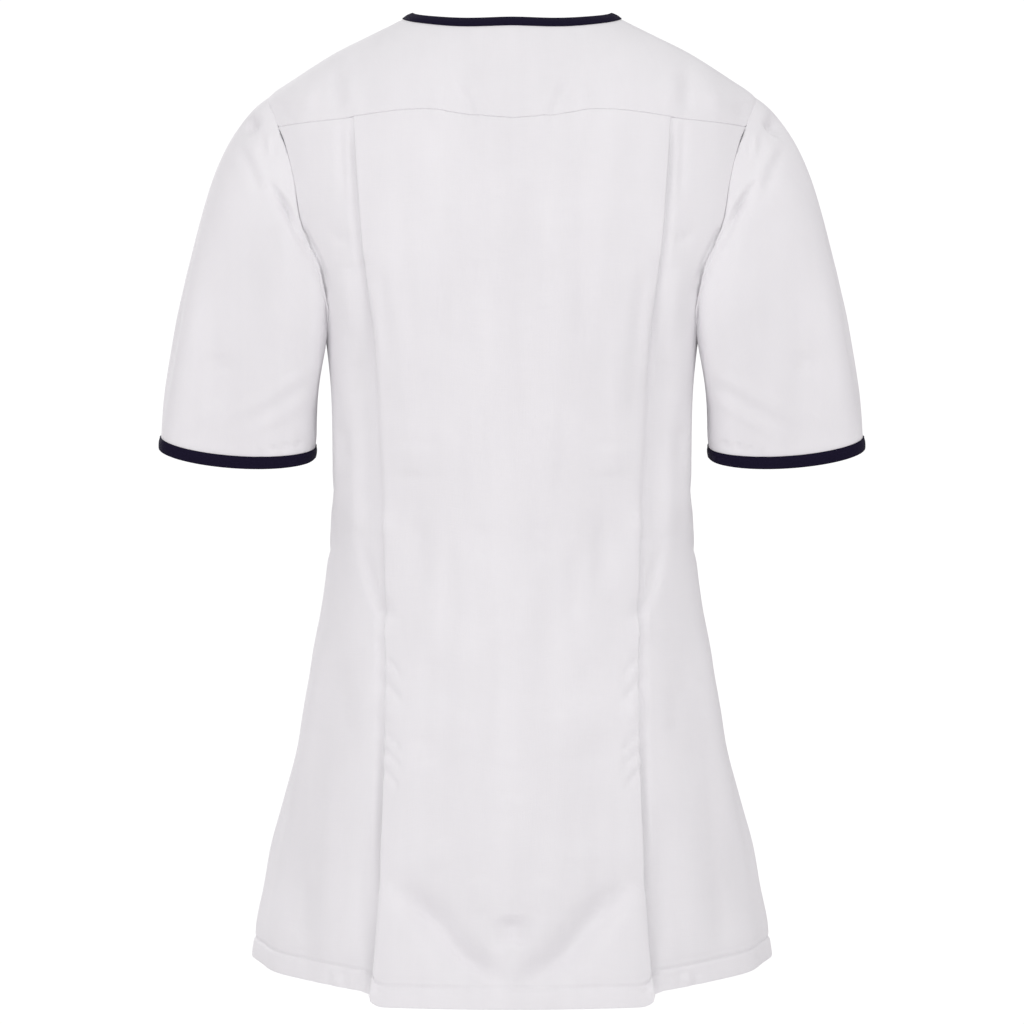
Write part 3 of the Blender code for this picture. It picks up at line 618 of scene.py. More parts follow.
BACK_FOLDS = (
    # yoke: the trough over the seam tick, drags over the shoulder and beside the neck
    (-2.0, 5, (131, -44), (130, -64), (128, -80)),
    (-1.4, 4, (127, -86), (126, -112), (124, -146)),
    (1.4, 6, (119, -50), (118, -66), (116, -78)),
    (1.3, 7, (150, -62), (152, -80)),
    (-1.5, 6, (172, -68), (174, -84)),
    (1.4, 5, (52, -60), (55, -78), (53, -98)),
    (-1.4, 4, (44, -58), (34, -72), (28, -92)),
    (1.2, 4, (36, -58), (27, -74), (20, -96)),
    (-1.2, 9, (0, -97), (0, -133)),
    # side panel beside and below the armhole
    (-2.6, 2.6, (156, -163), (150, -176), (144, -190), (140, -203)),
    (-2.6, 6, (143, -194), (140, -208), (137, -221)),
    (-1.4, 4, (134, -170), (127, -176), (119, -176)),
    (1.6, 6, (124, -196), (121, -226), (118, -252)),
    (-7.5, (12, 6), (110, -196), (109, -250), (106, -310), (103, -370), (101, -418)),
    (-2.0, 7, (119, -262), (117, -296)),
    (1.9, 6, (116, -330), (115, -372), (115, -400)),
    (-2.2, 6, (127, -310), (125, -345)),
    (-1.5, 6, (129, -366), (127, -402)),
    (-3.2, (3, 7), (113, -396), (107, -424), (98, -446), (86, -455)),
    (2.2, 6, (99, -458), (93, -472)),
    # skirt of the side panel
    (-9, 20, (188, -500), (198, -620), (205, -720), (208, -800)),
    (-2.6, 9, (157, -640), (158, -697)),
    (-3.0, 7, (107, -610), (105, -668), (105, -706)),
    (2.2, 13, (133, -540), (134, -620), (134, -690)),
    (-1.8, 8, (120, -500), (121, -548)),
    (1.8, 9, (140, -470), (145, -530)),
    # centre panel beside its folds
    (-2.4, 7, (99, -196), (97, -222), (93, -262)),
    (2.2, 9, (81, -228), (80, -270), (78, -312)),
    (2.6, 12, (72, -326), (72, -352)),
    (-1.8, 7, (54, -186), (52, -230), (51, -264)),
    (1.8, 8, (42, -146), (41, -178)),
    (-1.6, 7, (26, -190), (25, -226)),
    (2.2, 8, (28, -286), (27, -330), (25, -378)),
    (-2.8, 10, (70, -376), (68, -410), (66, -440)),
    (-2.2, 8, (48, -396), (47, -430), (45, -462)),
    (-1.8, 9, (22, -382), (20, -416)),
    (1.6, 10, (8, -430), (8, -480)),
    (-2.0, 12, (58, -480), (54, -520)),
    (-2.0, 10, (64, -536), (62, -566)),
    (1.8, 11, (36, -520), (35, -560)),
    (-1.8, 12, (0, -555), (0, -590)),
    # small puckers at the fold's edge
    (2.2, 6, (95, -376), (94, -396)),
    (-1.7, 2.6, (94, -484), (88, -490), (82, -498)),
    (2.0, 4, (92, -490), (88, -498)),
    (-1.7, 2.6, (94, -500), (87, -508), (81, -516)),
    (2.6, 6, (90, -513), (88, -532)),
    (-1.6, 2.4, (94, -538), (86, -546), (81, -552)),
    (1.8, 4, (92, -544), (87, -551)),
    (-1.6, 2.4, (94, -550), (86, -558), (80, -566)),
    (1.6, 4, (92, -557), (87, -564)),
    (-1.6, 2.4, (94, -564), (87, -572), (82, -580)),
    # folds in a V above the centre hem
    (2.4, 9, (24, -640), (21, -656), (18, -668)),
    (1.8, 9, (58, -618), (48, -636)),
    (-8.5, (8, 14), (86, -646), (73, -661), (55, -674), (40, -692), (22, -708), (8, -716)),
    (-6.5, 10, (74, -655), (56, -683), (40, -702), (25, -712)),
    (-8.5, 11, (0, -668), (0, -694)),
    (-3.2, 10, (36, -705), (18, -711), (0, -713)),
    (-1.5, 2.4, (99, -719), (94, -726)),
    # hem of the side panel
    (-1.5, 2.4, (134, -712), (134, -727)),
    (-1.5, 2.4, (124, -710), (121, -726)),
    (1.4, 3, (129, -714), (128, -722)),
    (-1.4, 3, (113, -712), (110, -726)),
)
FRONT_FOLDS = (
    (-2.2, 12, (-150, -110), (-118, -150), (-96, -196)),
    (1.8, 10, (-140, -128), (-108, -168), (-90, -210)),
    (-2.0, 11, (148, -112), (120, -146), (101, -190)),
    (1.5, 10, (134, -132), (110, -170), (97, -215)),
    (-2.4, 9, (-128, -250), (-104, -300), (-96, -372)),
    (2.0, 10, (-84, -260), (-70, -330), (-66, -420)),
    (-2.0, 9, (-46, -246), (-40, -300), (-42, -362)),
    (-1.8, 10, (6, -236), (10, -300), (4, -390)),
    (1.8, 12, (34, -250), (30, -330), (36, -410)),
    (-2.2, 9, (104, -260), (98, -320), (104, -392)),
    (-3.1, 12, (-118, -430), (-124, -520), (-140, -640), (-144, -716)),
    (2.6, 14, (-84, -440), (-88, -540), (-96, -650), (-100, -716)),
    (-2.6, 12, (-40, -470), (-42, -560), (-50, -660), (-48, -716)),
    (2.0, 13, (-4, -450), (-2, -560), (-8, -690)),
    (-2.4, 12, (34, -480), (36, -590), (42, -716)),
    (-2.9, 13, (116, -450), (122, -560), (134, -660), (138, -716)),
    (2.4, 12, (92, -500), (100, -600), (104, -716)),
    (-1.5, 4, (60, -214), (44, -224), (24, -228)),
    (-1.5, 4, (64, -330), (50, -344), (28, -350)),
    (-1.3, 4, (66, -470), (52, -482), (30, -484)),
)
SIDE_FOLDS = (
    (-2.2, 9, (10, -250), (14, -300), (8, -356)),
    (-2.0, 9, (-36, -246), (-30, -300), (-34, -370)),
    (1.8, 10, (40, -262), (34, -330), (38, -400)),
    (-3.3, 13, (6, -430), (2, -520), (-8, -640), (-10, -712)),
    (2.6, 13, (46, -450), (50, -560), (48, -706)),
    (-2.6, 12, (-52, -460), (-60, -570), (-64, -710)),
    (-1.8, 6, (36, -352), (4, -370), (-30, -372)),
    (-1.5, 6, (30, -396), (-4, -410), (-34, -404)),
)
SLEEVE_BACK_FOLDS = (
    # the dip over the sleeve head and small drags round it
    (-8.0, 8, (205, -79), (199, -85), (192, -92)),
    (-1.6, 5, (205, -102), (195, -120), (185, -146)),
    (1.4, 5, (198, -98), (189, -118), (180, -138)),
    (-1.2, 3, (187, -94), (184, -112)),
    (1.1, 3, (182, -94), (180, -110)),
    (-1.1, 2.5, (178, -98), (176, -112)),
    # the fold that runs into the armhole seam
    (1.4, 2.4, (174, -135), (167, -145), (158, -157), (152, -167)),
    (-6.5, (5, 2.6), (180, -133), (170, -147), (160, -161), (152, -175), (146, -188)),
    (1.2, 8, (176, -156), (170, -172), (164, -200)),
    # the pressed turn beside the body
    (3.2, (8, 3.5), (141, -202), (143, -226), (147, -262), (151, -318)),
    # above the cuff
    (1.1, 5, (147, -266), (163, -280), (188, -294), (222, -312)),
    (-0.8, 5, (150, -278), (172, -296), (205, -314)),
    (1.0, 4, (152, -290), (170, -304), (194, -318)),
    (1.2, 6, (214, -296), (238, -312)),
    (-1.6, 9, (220, -258), (216, -276)),
    (-1.4, 9, (163, -236), (161, -262), (158, -284)),
    (-1.5, 2.6, (159, -322), (161, -331)),
    (-1.5, 2.6, (168, -324), (170, -333)),
    (-1.5, 2.6, (177, -327), (178, -335)),
    (-1.2, 2.6, (187, -330), (188, -337)),
    (-1.4, 14, (214, -190), (222, -240), (226, -300)),
    (1.2, 12, (236, -200), (243, -260), (244, -310)),
)
SLEEVE_FRONT_FOLDS = (
    (-2.4, 8, (196, -104), (180, -130), (166, -156)),
    (2.0, 8, (208, -118), (190, -150), (172, -180)),
    (-2.0, 8, (228, -180), (222, -240), (226, -300)),
    (-2.0, 7, (158, -244), (170, -280), (190, -304)),
    (1.5, 8, (200, -220), (204, -270), (202, -320)),
)
SLEEVE_OUTER_FOLDS = (
    (-1.8, 9, (20, -150), (16, -210), (22, -290)),
    (-1.5, 9, (-24, -160), (-28, -230), (-22, -300)),
    (1.3, 10, (-2, -200), (0, -260), (-4, -320)),
)


def smooth_path(points, pieces=5):
    """Catmull-Rom curve through the points, each span in the given number of pieces."""
    if len(points) < 3:
        return points
    padded = np.concatenate([2 * points[:1] - points[1:2], points, 2 * points[-1:] - points[-2:-1]])
    t = (np.arange(pieces) / pieces)[:, None]
    spans = []
    for a, b, c, d in zip(padded, padded[1:], padded[2:], padded[3:]):
        bend = (2 * a - 5 * b + 4 * c - d) * t + (3 * (b - c) + d - a) * t * t
        spans.append(b + (c - a) * t / 2 + bend * t / 2)
    return np.concatenate(spans + [points[-1:]])


def fold_height(across, up, folds):
    """Height of a list of folds at places on the face that the list is drawn on."""
    total = np.zeros(across.shape)
    for height, width, *path in folds:
        line = smooth_path(np.array(path, float) * MM)
        left, right = width if isinstance(width, tuple) else (width, width)
        reach = FOLD_REACH * max(left, right) * MM
        near = (across > line[:, 0].min() - reach) & (across < line[:, 0].max() + reach)
        near &= (up > line[:, 1].min() - reach) & (up < line[:, 1].max() + reach)
        if not near.any():
            continue
        place = np.stack([across[near], up[near]], axis=-1)
        best = np.sum((place - line[0]) ** 2, axis=-1)
        share, turn = np.zeros(len(place)), np.zeros(len(place))
        for k, (start, end) in enumerate(zip(line, line[1:])):
            run, off = end - start, place - start
            t = np.clip(off @ run / (run @ run), 0.0, 1.0)
            apart = np.sum((off - t[:, None] * run) ** 2, axis=-1)
            share = np.where(apart < best, (k + t) / (len(line) - 1), share)
            turn = np.where(apart < best, run[0] * off[:, 1] - run[1] * off[:, 0], turn)
            best = np.minimum(best, apart)
        from_end = smooth(np.minimum(share, 1 - share) / FOLD_END["share"])
        taper = lerp(FOLD_END["height"], 1.0, from_end)
        width = np.where(turn > 0, left, right) * MM
        total[near] += height * MM * taper * np.exp(-best / width ** 2)
    return total


def uneven_height(points, seed):
    """Soft, mostly upright unevenness, the same on both sides of the centre line."""
    random = np.random.default_rng(seed)
    x = np.sqrt(points[..., 0] ** 2 + CENTRE_BLEND ** 2)
    place = np.stack([x, points[..., 1], points[..., 2]], axis=-1)
    total = np.zeros(x.shape)
    for _ in range(UNEVEN["waves"]):
        way = random.normal(size=3)
        way[2] *= UNEVEN["upright"]
        way /= np.linalg.norm(way)
        length = random.uniform(UNEVEN["shortest"], UNEVEN["longest"])
        phase = random.uniform(0, 2 * pi)
        total += UNEVEN["slope"] * length * np.sin(2 * pi * (place @ way) / length + phase)
    lower = smooth((-points[..., 2] - UNEVEN["from"]) / UNEVEN["over"])
    return total * lerp(UNEVEN["above"], UNEVEN["below"], lower)


def facing(normals, way):
    """1 where the cloth faces that way, falling softly to 0 where it faces aside."""
    return smooth((normals @ np.array(way, float) - FACING["from"]) / FACING["over"])


def body_relief(points, normals):
    """Height of the body's folds above the form."""
    x, y, z = np.moveaxis(points, -1, 0)
    total = uneven_height(points, UNEVEN_SEED["body"])
    total += facing(normals, (0, 1, 0)) * fold_height(np.abs(x), z, BACK_FOLDS)
    total += facing(normals, (0, -1, 0)) * fold_height(x, z, FRONT_FOLDS)
    sideways = np.maximum(facing(normals, (1, 0, 0)), facing(normals, (-1, 0, 0)))
    below = smooth((-z - SIDE_FOLDS_BELOW["from"]) / SIDE_FOLDS_BELOW["over"])
    return total + sideways * below * fold_height(y, z, SIDE_FOLDS)


def sleeve_relief(points, normals):
    """Height of a sleeve's folds above its plain form, for a left sleeve."""
    x, y, z = np.moveaxis(points, -1, 0)
    total = uneven_height(points, UNEVEN_SEED["sleeve"])
    total += facing(normals, (0, 1, 0)) * fold_height(x, z, SLEEVE_BACK_FOLDS)
    total += facing(normals, (0, -1, 0)) * fold_height(x, z, SLEEVE_FRONT_FOLDS)
    return total + facing(normals, (1, 0, 0)) * fold_height(y, z, SLEEVE_OUTER_FOLDS)


# ---------------------------------------------------------------- edges of a sheet

def along_rows(array, edge):
    """The array with the named edge as its last row."""
    if edge in ("start", "end"):
        array = array.swapaxes(0, 1)
    return array[::-1] if edge in ("top", "start") else array


def from_rows(array, edge):
    """Undoes along_rows."""
    array = array[::-1] if edge in ("top", "start") else array
    return array.swapaxes(0, 1) if edge in ("start", "end") else array


def edge_outward(points, normals):
    """Direction along the cloth and off it, square to its last row."""
    tangent = np.gradient(points[-1], axis=0)
    off = points[-1] - points[-2]
    outward = unit(np.cross(tangent, normals[-1]))
    return outward * np.where(np.sum(outward * off, axis=-1, keepdims=True) < 0, -1.0, 1.0)


def turned_rows(base, outward, normal, radius, angles):
    """Rows of an edge that turns in round an arc, and their normals."""
    rows, ways = [], []
    for angle in angles:
        rows.append(base + outward * radius * np.sin(angle) - normal * radius * (1 - np.cos(angle)))
        ways.append(normal * np.cos(angle) + outward * np.sin(angle))
    return rows, ways


def seam_edge(sheet, edge, strength=1.0):
    """Draws an edge back from its seam line and rolls it in to a flange on the wrong side."""
    points, normals = (along_rows(array, edge).copy() for array in sheet)
    strength = np.broadcast_to(strength, len(points[-1]))[:, None]
    outward, normal = edge_outward(points, normals), normals[-1].copy()
    roll = SEAM_ROLL * strength
    gap = SEAM_HALF_GAP * np.minimum(strength, 1) + SEAM_PARTING * np.maximum(strength - 1, 0)
    points[-1] -= outward * (roll + gap)
    base = points[-1].copy()
    rows, ways = turned_rows(base, outward, normal, roll, SEAM_ANGLES)
    for depth in FLANGE_ROWS:
        rows.append(base + outward * roll - normal * (roll + SEAM_FLANGE * depth * strength))
        ways.append(outward)
    return tuple(from_rows(np.concatenate(both), edge) for both in ((points, rows), (normals, ways)))


def folded_edge(sheet, edge, width, radius):
    """Folds an edge under: a half turn of this radius, then a second layer this wide that
    follows the first on its wrong side."""
    points, normals = (along_rows(array, edge).copy() for array in sheet)
    outward, normal = edge_outward(points, normals), normals[-1].copy()
    above = points.copy()
    points[-1] -= outward * radius
    rows, ways = turned_rows(points[-1].copy(), outward, normal, radius, HALF_TURN)
    gone = arc_lengths(above[::-1], 0)[1:].mean(axis=1)
    for k, far in enumerate(gone):
        rows.append(above[-2 - k] - normals[-2 - k] * 2 * radius)
        ways.append(-normals[-2 - k])
        if far > width:
            break
    return tuple(from_rows(np.concatenate(both), edge) for both in ((points, rows), (normals, ways)))


def distance_from(points, edge):
    """How far each point is from the named edge, measured along the sheet."""
    far = arc_lengths(along_rows(points, edge)[::-1], 0)[::-1]
    return from_rows(far[..., None], edge)[..., 0]


def hem_relief(far, height):
    """A hem's doubled cloth stands up towards its edge, below the groove of its stitching."""
    form, above = HEM_FORM, far - height
    groove = -form["groove"] * np.exp(-(above / form["groove_width"]) ** 2)
    dent = -form["dent"] * np.exp(-((above - form["dent_above"]) / form["dent_width"]) ** 2)
    stand = form["stand"] * smooth(-above / form["stand_over"])
    return groove + dent + stand + form["flare"] * smooth(-above / height)


def stitch_line(sheet, height, edge="bottom"):
    """Points and normals of the line at a distance from an edge of the sheet."""
    points, normals = (along_rows(array, edge)[::-1] for array in sheet)
    far = arc_lengths(points, 0)
    columns = range(points.shape[1])
    line = [sampled(height, far[:, k], points[:, k]) for k in columns]
    ways = [sampled(height, far[:, k], normals[:, k]) for k in columns]
    return np.array(line), unit(np.array(ways))


# ---------------------------------------------------------------- meshes

def placed(name, data):
    """An object with this data, linked to the scene."""
    thing = bpy.data.objects.new(name, data)
    bpy.context.scene.collection.objects.link(thing)
    return thing


def make_mesh(name, points, faces, material, places=None):
    mesh = bpy.data.meshes.new(name)
    mesh.from_pydata(points.tolist(), [], faces.tolist())
    mesh.shade_smooth()
    mesh.materials.append(material)
    if places is not None:
        layer = mesh.uv_layers.new(name="grain")
        layer.uv.foreach_set("vector", places[faces.ravel()].astype(np.float32).ravel())
    return placed(name, mesh)


def make_sheet(name, sheet, material, wall, closed=False):
    """A sheet through a grid of points, thickened by Solidify. Its UV map is in metres
    along and across the grain."""
    points, normals = sheet
    if closed:
        points = np.concatenate([points, points[:, :1]], axis=1)
    rows, columns = points.shape[:2]
    across = arc_lengths(points, 1)
    across = across - across[:, columns // 2, None]
    places = np.stack([across, arc_lengths(points, 0)], axis=-1).reshape(-1, 2)
    index = np.arange(rows * columns).reshape(rows, columns)
    faces = np.stack([index[:-1, :-1], index[1:, :-1], index[1:, 1:], index[:-1, 1:]], axis=-1)
    faces = faces.reshape(-1, 4)
    down, along = points[1, 0] - points[0, 0], points[0, 1] - points[0, 0]
    if np.cross(down, along) @ normals[0, 0] < 0:
        faces = faces[:, ::-1]
    piece = make_mesh(name, points.reshape(-1, 3), faces, material, places)
    if closed:
        weld(piece)
    thicken(piece, wall)
    return piece


def weld(piece):
    """Joins the two ends of a tube's grid, which lie on each other."""
    mesh = bmesh.new()
    mesh.from_mesh(piece.data)
    bmesh.ops.remove_doubles(mesh, verts=mesh.verts, dist=1e-7)
    mesh.to_mesh(piece.data)
    mesh.free()


def thicken(piece, wall):
    """Gives the sheet its thickness, half on either side of its grid."""
    solidify = piece.modifiers.new("wall", "SOLIDIFY")
    solidify.thickness = wall
    solidify.offset = 0.0


def make_stitches(name, line, normals, material, closed=False):
    """A row of small raised stitches along a line on the cloth."""
    if closed:
        line = np.concatenate([line, line[:1]])
        normals = np.concatenate([normals, normals[:1]])
    travelled = arc_lengths(line, 0)
    count = int(travelled[-1] / STITCH["pitch"])
    begin = (np.arange(count) + 0.5) * travelled[-1] / count
    shares, widths, lifts = np.array(STITCH_RINGS).T
    points, faces = [], []
    for at in begin:
        spine = sampled(at + shares * STITCH["length"], travelled, line)
        normal = unit(sampled(at, travelled, normals))
        along = unit(spine[3] - spine[0])
        across = np.cross(normal, along)
        start = len(points)
        for place, width, lift in zip(spine, widths, lifts):
            centre = place + normal * STITCH["radius"] * lift
            for side, up in ((1, 0), (0, 1), (-1, 0), (0, -1)):
                points.append(centre + (across * side + normal * up) * STITCH["radius"] * width)
        for ring_start in (start, start + 4, start + 8):
            for k in range(4):
                n = (k + 1) % 4
                faces.append((ring_start + k, ring_start + n, ring_start + 4 + n, ring_start + 4 + k))
        faces.append((start + 3, start + 2, start + 1, start))
        faces.append((start + 12, start + 13, start + 14, start + 15))
    return make_mesh(name, np.array(points), np.array(faces), material)


# ---------------------------------------------------------------- rows and columns of the sheets

def row_at_share(share):
    """Armhole step at an even share of the zone above the chest line."""
    return ARM_STEPS / pi * np.arccos(1 - share ** 2 * (1 - np.cos(pi * YOKE_STEPS / ARM_STEPS)))


def row_at_height(z):
    """Armhole step at a height of the armhole seam."""
    return ARM_STEPS / pi * np.arccos(1 - 2 * (SHOULDER_TIP_Z - z) / (SHOULDER_TIP_Z - UNDERARM_Z))


def spaced(first, last, step):
    """Evenly spaced values from first to last, about step apart, without the first."""
    return np.linspace(first, last, max(int(round(abs(last - first) / step)), 1) + 1)[1:]


def spacings(first, *runs):
    """Values from first to the end of each run, whose second number is its spacing."""
    parts = [[first]]
    for last, step in runs:
        parts.append(spaced(parts[-1][-1], last, step))
    return np.concatenate(parts)


ROWS_PER_METRE = SKIRT_ROWS / (UNDERARM_Z - HEM_Z)
UPPER_ROWS = row_at_share(np.linspace(0.0, 1.0, YOKE_ROWS))
CHEST_Z = armhole_point(YOKE_STEPS, "back")[2]
ARM_ROWS = row_at_height(spaced(CHEST_Z, UNDERARM_Z, STEP))
FINE_FROM = LAST_ROW - FINE_HEIGHT * ROWS_PER_METRE
SKIRT = spacings(ARM_STEPS, (FINE_FROM, STEP * ROWS_PER_METRE), (LAST_ROW, FINE_STEP * ROWS_PER_METRE))
LOWER_ROWS = np.concatenate([[YOKE_STEPS], ARM_ROWS, SKIRT[1:]])
ALL_ROWS = np.concatenate([UPPER_ROWS[:-1], LOWER_ROWS])


def both_halves(sheet):
    """A left half and its mirror image, joined at the centre line."""
    return tuple(np.concatenate([mirrored(array[:, :0:-1]), array], axis=1) for array in sheet)


def laid(sheet, sink=0.0, extra=0.0):
    """The sheet on the body's folds, sunk below them or raised."""
    points, normals = sheet
    height = body_relief(points, normals) - sink + extra
    return points + normals * height[..., None], normals


# ---------------------------------------------------------------- how open the seams lie

def armhole_strength(steps):
    """Nearly closed over the shoulder, then moderate, and on the back wide where the
    sleeve's fold begins just below the yoke. The steps run on past ARM_STEPS up the
    front."""
    form = ARMHOLE_OPEN
    wide = np.exp(-((steps - form["at"]) / form["reach"]) ** 2)
    from_tip = np.minimum(steps, 2 * ARM_STEPS - steps)
    past_yoke = smooth((from_tip - form["from"]) / form["over"])
    return lerp(form["shoulder"], form["below"], past_yoke) + form["wider"] * wide


def front_armhole_strength(rows):
    """The same, for the rows of a front."""
    return armhole_strength(2 * ARM_STEPS - np.minimum(rows, ARM_STEPS))


def shoulder_strength(columns):
    """A top edge is next to closed under the neck binding, and full over the shoulder."""
    past_neck = np.abs(columns) - NECK_COLUMNS - SHOULDER_OPEN["from"]
    return lerp(SHOULDER_OPEN["neck"], 1.0, smooth(past_neck / SHOULDER_OPEN["over"]))


def armhole_edge(sheet, edge, strength):
    """The seam edge at an armhole, after the sheet's top edge has been made. Rows that
    other edges have added at either end keep the nearest strength."""
    before = len(SEAM_ANGLES) + len(FLANGE_ROWS)
    after = max(len(sheet[0]) - len(strength) - before, 0)
    return seam_edge(sheet, edge, np.pad(strength, (before, after), mode="edge"))


# ---------------------------------------------------------------- body panels

def hemmed(points, part):
    """Relief of the hem along the bottom of a panel."""
    return hem_relief(distance_from(points, "bottom"), HEM_HEIGHT[part])


def sewn_panel(name, part, sheet, top, folds, armhole=()):
    """A panel with its seam edges, the edges that are folded under and its hem. armhole
    gives that edge's name and its strengths."""
    sheet = seam_edge(sheet, "top", top)
    if armhole:
        sheet = armhole_edge(sheet, *armhole)
    for edge, width in folds:
        sheet = folded_edge(sheet, edge, width, LAYER / 2)
    sheet = folded_edge(sheet, "bottom", HEM_HEIGHT[part], HEM_ROLL)
    return make_sheet(name, sheet, cloth, CLOTH)


def build_yoke():
    """The yoke, in one piece from shoulder to shoulder."""
    step = COLUMN_STEPS["yoke"]
    columns = spacings(0.0, (NECK_COLUMNS, step["neck"]), (HALF_COLUMNS, step["shoulder"]))
    sheet = both_halves(laid(body_patch(columns, UPPER_ROWS, "back")))
    every = np.concatenate([columns[:0:-1], columns])
    sheet = seam_edge(sheet, "top", shoulder_strength(every))
    sheet = seam_edge(sheet, "bottom")
    for edge in ("start", "end"):
        sheet = armhole_edge(sheet, edge, armhole_strength(UPPER_ROWS))
    return make_sheet("yoke", sheet, cloth, CLOTH)


def build_centre_back():
    """The centre of the back, whose sides fold under as pleats over the side panels."""
    step = COLUMN_STEPS["centre_back"]
    columns = spacings(0.0, (NECK_COLUMNS - 2, step["middle"]), (NECK_COLUMNS, step["pleat"]))
    points, normals = body_patch(columns, LOWER_ROWS, "back")
    t = np.clip(columns - (NECK_COLUMNS - 1), 0, 1)
    longer = CENTRE_BACK_EXTRA - CENTRE_CORNER * (1 - np.sqrt(1 - t * t))
    points[..., 2] -= np.maximum(LOWER_ROWS - (LAST_ROW - 1), 0)[:, None] * longer
    opened = np.maximum(LOWER_ROWS - (LAST_ROW - PLEAT_OPEN_ROWS), 0) / PLEAT_OPEN_ROWS
    lift = (PLEAT_OPEN * opened ** PLEAT_OPEN_BEND)[:, None] + hemmed(points, "centre")
    sheet = both_halves(laid((points, normals), extra=lift))
    line = stitch_line(sheet, HEM_HEIGHT["centre"])
    folds = (("start", PLEAT_WIDTH), ("end", PLEAT_WIDTH))
    return sewn_panel("centre_back", "centre", sheet, 1.0, folds), line


def pressed_at_seam(rows):
    """The pleat layers are sewn flat onto each other at the yoke seam."""
    return lerp(PLEAT_PRESS["share"], 1.0, smooth((rows - YOKE_STEPS) / PLEAT_PRESS["rows"]))[:, None]


def build_side_back(hand):
    """A side panel of the back, from a strip under the pleat to the side seam."""
    tuck = NECK_COLUMNS + PLEAT_TUCK / PLEAT_FLAT
    step = COLUMN_STEPS["side_back"]
    columns = spacings(
        NECK_COLUMNS - 2.0,
        (NECK_COLUMNS, step["under"]),
        (NECK_COLUMNS + 1, step["beside"]),
        (HALF_COLUMNS, step["out"]),
    )
    under = 1 - smooth((columns - tuck) / (NECK_COLUMNS + 1 - tuck))
    pressed = pressed_at_seam(LOWER_ROWS)
    points, normals = body_patch(columns, LOWER_ROWS, "back")
    beside = np.exp(-((columns - tuck) / PLEAT_GROOVE_COLUMNS) ** 2) * pressed
    sink = 2 * LAYER * under * pressed + read_table(PLEAT_GROOVE, points[..., 2], "depth") * beside
    sheet = on_hand(laid((points, normals), sink, hemmed(points, "side")), hand)
    line = stitch_line(tuple(array[:, columns > tuck] for array in sheet), HEM_HEIGHT["side"])
    armhole = ("end", armhole_strength(LOWER_ROWS))
    return sewn_panel("side_back_" + hand, "side", sheet, 1.0, (), armhole), line


def front_patch(columns, sink, hand):
    """Part of a front, on the body's folds and with its hem."""
    sheet = on_hand(body_patch(columns, ALL_ROWS, "front"), hand)
    return laid(sheet, sink, hemmed(sheet[0], "front"))


def build_front_over():
    """The right front, which carries on across the centre to the opening."""
    step = COLUMN_STEPS["front_over"]
    right = spacings(0.0, (OPENING_COLUMN, step["middle"]), (HALF_COLUMNS, step["out"]))
    left = right[right <= OPENING_COLUMN]
    halves = [front_patch(right, 0.0, "R"), front_patch(left, 0.0, "L")]
    points, normals = (np.concatenate([a[:, :0:-1], b], axis=1) for a, b in zip(*halves))
    raised = hem_relief(distance_from(points, "end"), OPENING_STITCH)
    raised = raised * OPENING_RELIEF * smooth((ALL_ROWS - COLLAR_STEP) / COLLAR_STEP)[:, None]
    sheet = (points + normals * raised[..., None], normals)
    line = stitch_line(sheet, HEM_HEIGHT["front"])
    opening = stitch_line(sheet, OPENING_STITCH, "end")
    top = shoulder_strength(np.concatenate([-right[:0:-1], left]))
    armhole = ("start", front_armhole_strength(ALL_ROWS))
    panel = sewn_panel("front_right", "front", sheet, top, (("end", OPENING_FACING),), armhole)
    return panel, line, opening


def past_opening(columns):
    """0 where the under front stays down beside the opening, rising to 1 a column away."""
    return smooth((columns - OPENING_COLUMN - OPENING_TUCK) / (1 - OPENING_TUCK))


def build_front_under():
    """The left front, from a strip under the other front to the side."""
    step = COLUMN_STEPS["front_under"]
    columns = spacings(
        OPENING_COLUMN - 1.0,
        (OPENING_COLUMN, step["under"]),
        (OPENING_COLUMN + 1, step["beside"]),
        (HALF_COLUMNS, step["out"]),
    )
    sheet = front_patch(columns, under_sink(ALL_ROWS)[:, None] * (1 - past_opening(columns)), "L")
    shown = tuple(array[:, columns > OPENING_COLUMN + OPENING_TUCK] for array in sheet)
    line = stitch_line(shown, HEM_HEIGHT["front"])
    armhole = ("end", front_armhole_strength(ALL_ROWS))
    return sewn_panel("front_left", "front", sheet, shoulder_strength(columns), (), armhole), line


def under_sink(rows):
    """The left front lies deeper beside the neck, where both bindings pass."""
    below_neck = smooth((rows - COLLAR_STEP) / FRONT_SINK["rows"])
    return lerp(FRONT_SINK["neck"], FRONT_SINK["below"], below_neck)


# ---------------------------------------------------------------- sleeves

def sleeve_steps():
    """Armhole steps of a sleeve's lines, closer together on the back than on the front."""
    round_share = np.linspace(0, 1, SLEEVE_LINES, endpoint=False)
    moved = BACK_CROWDING * (np.cos(2 * pi * round_share) - 1) / (2 * pi)
    return 2 * ARM_STEPS * (round_share + moved)


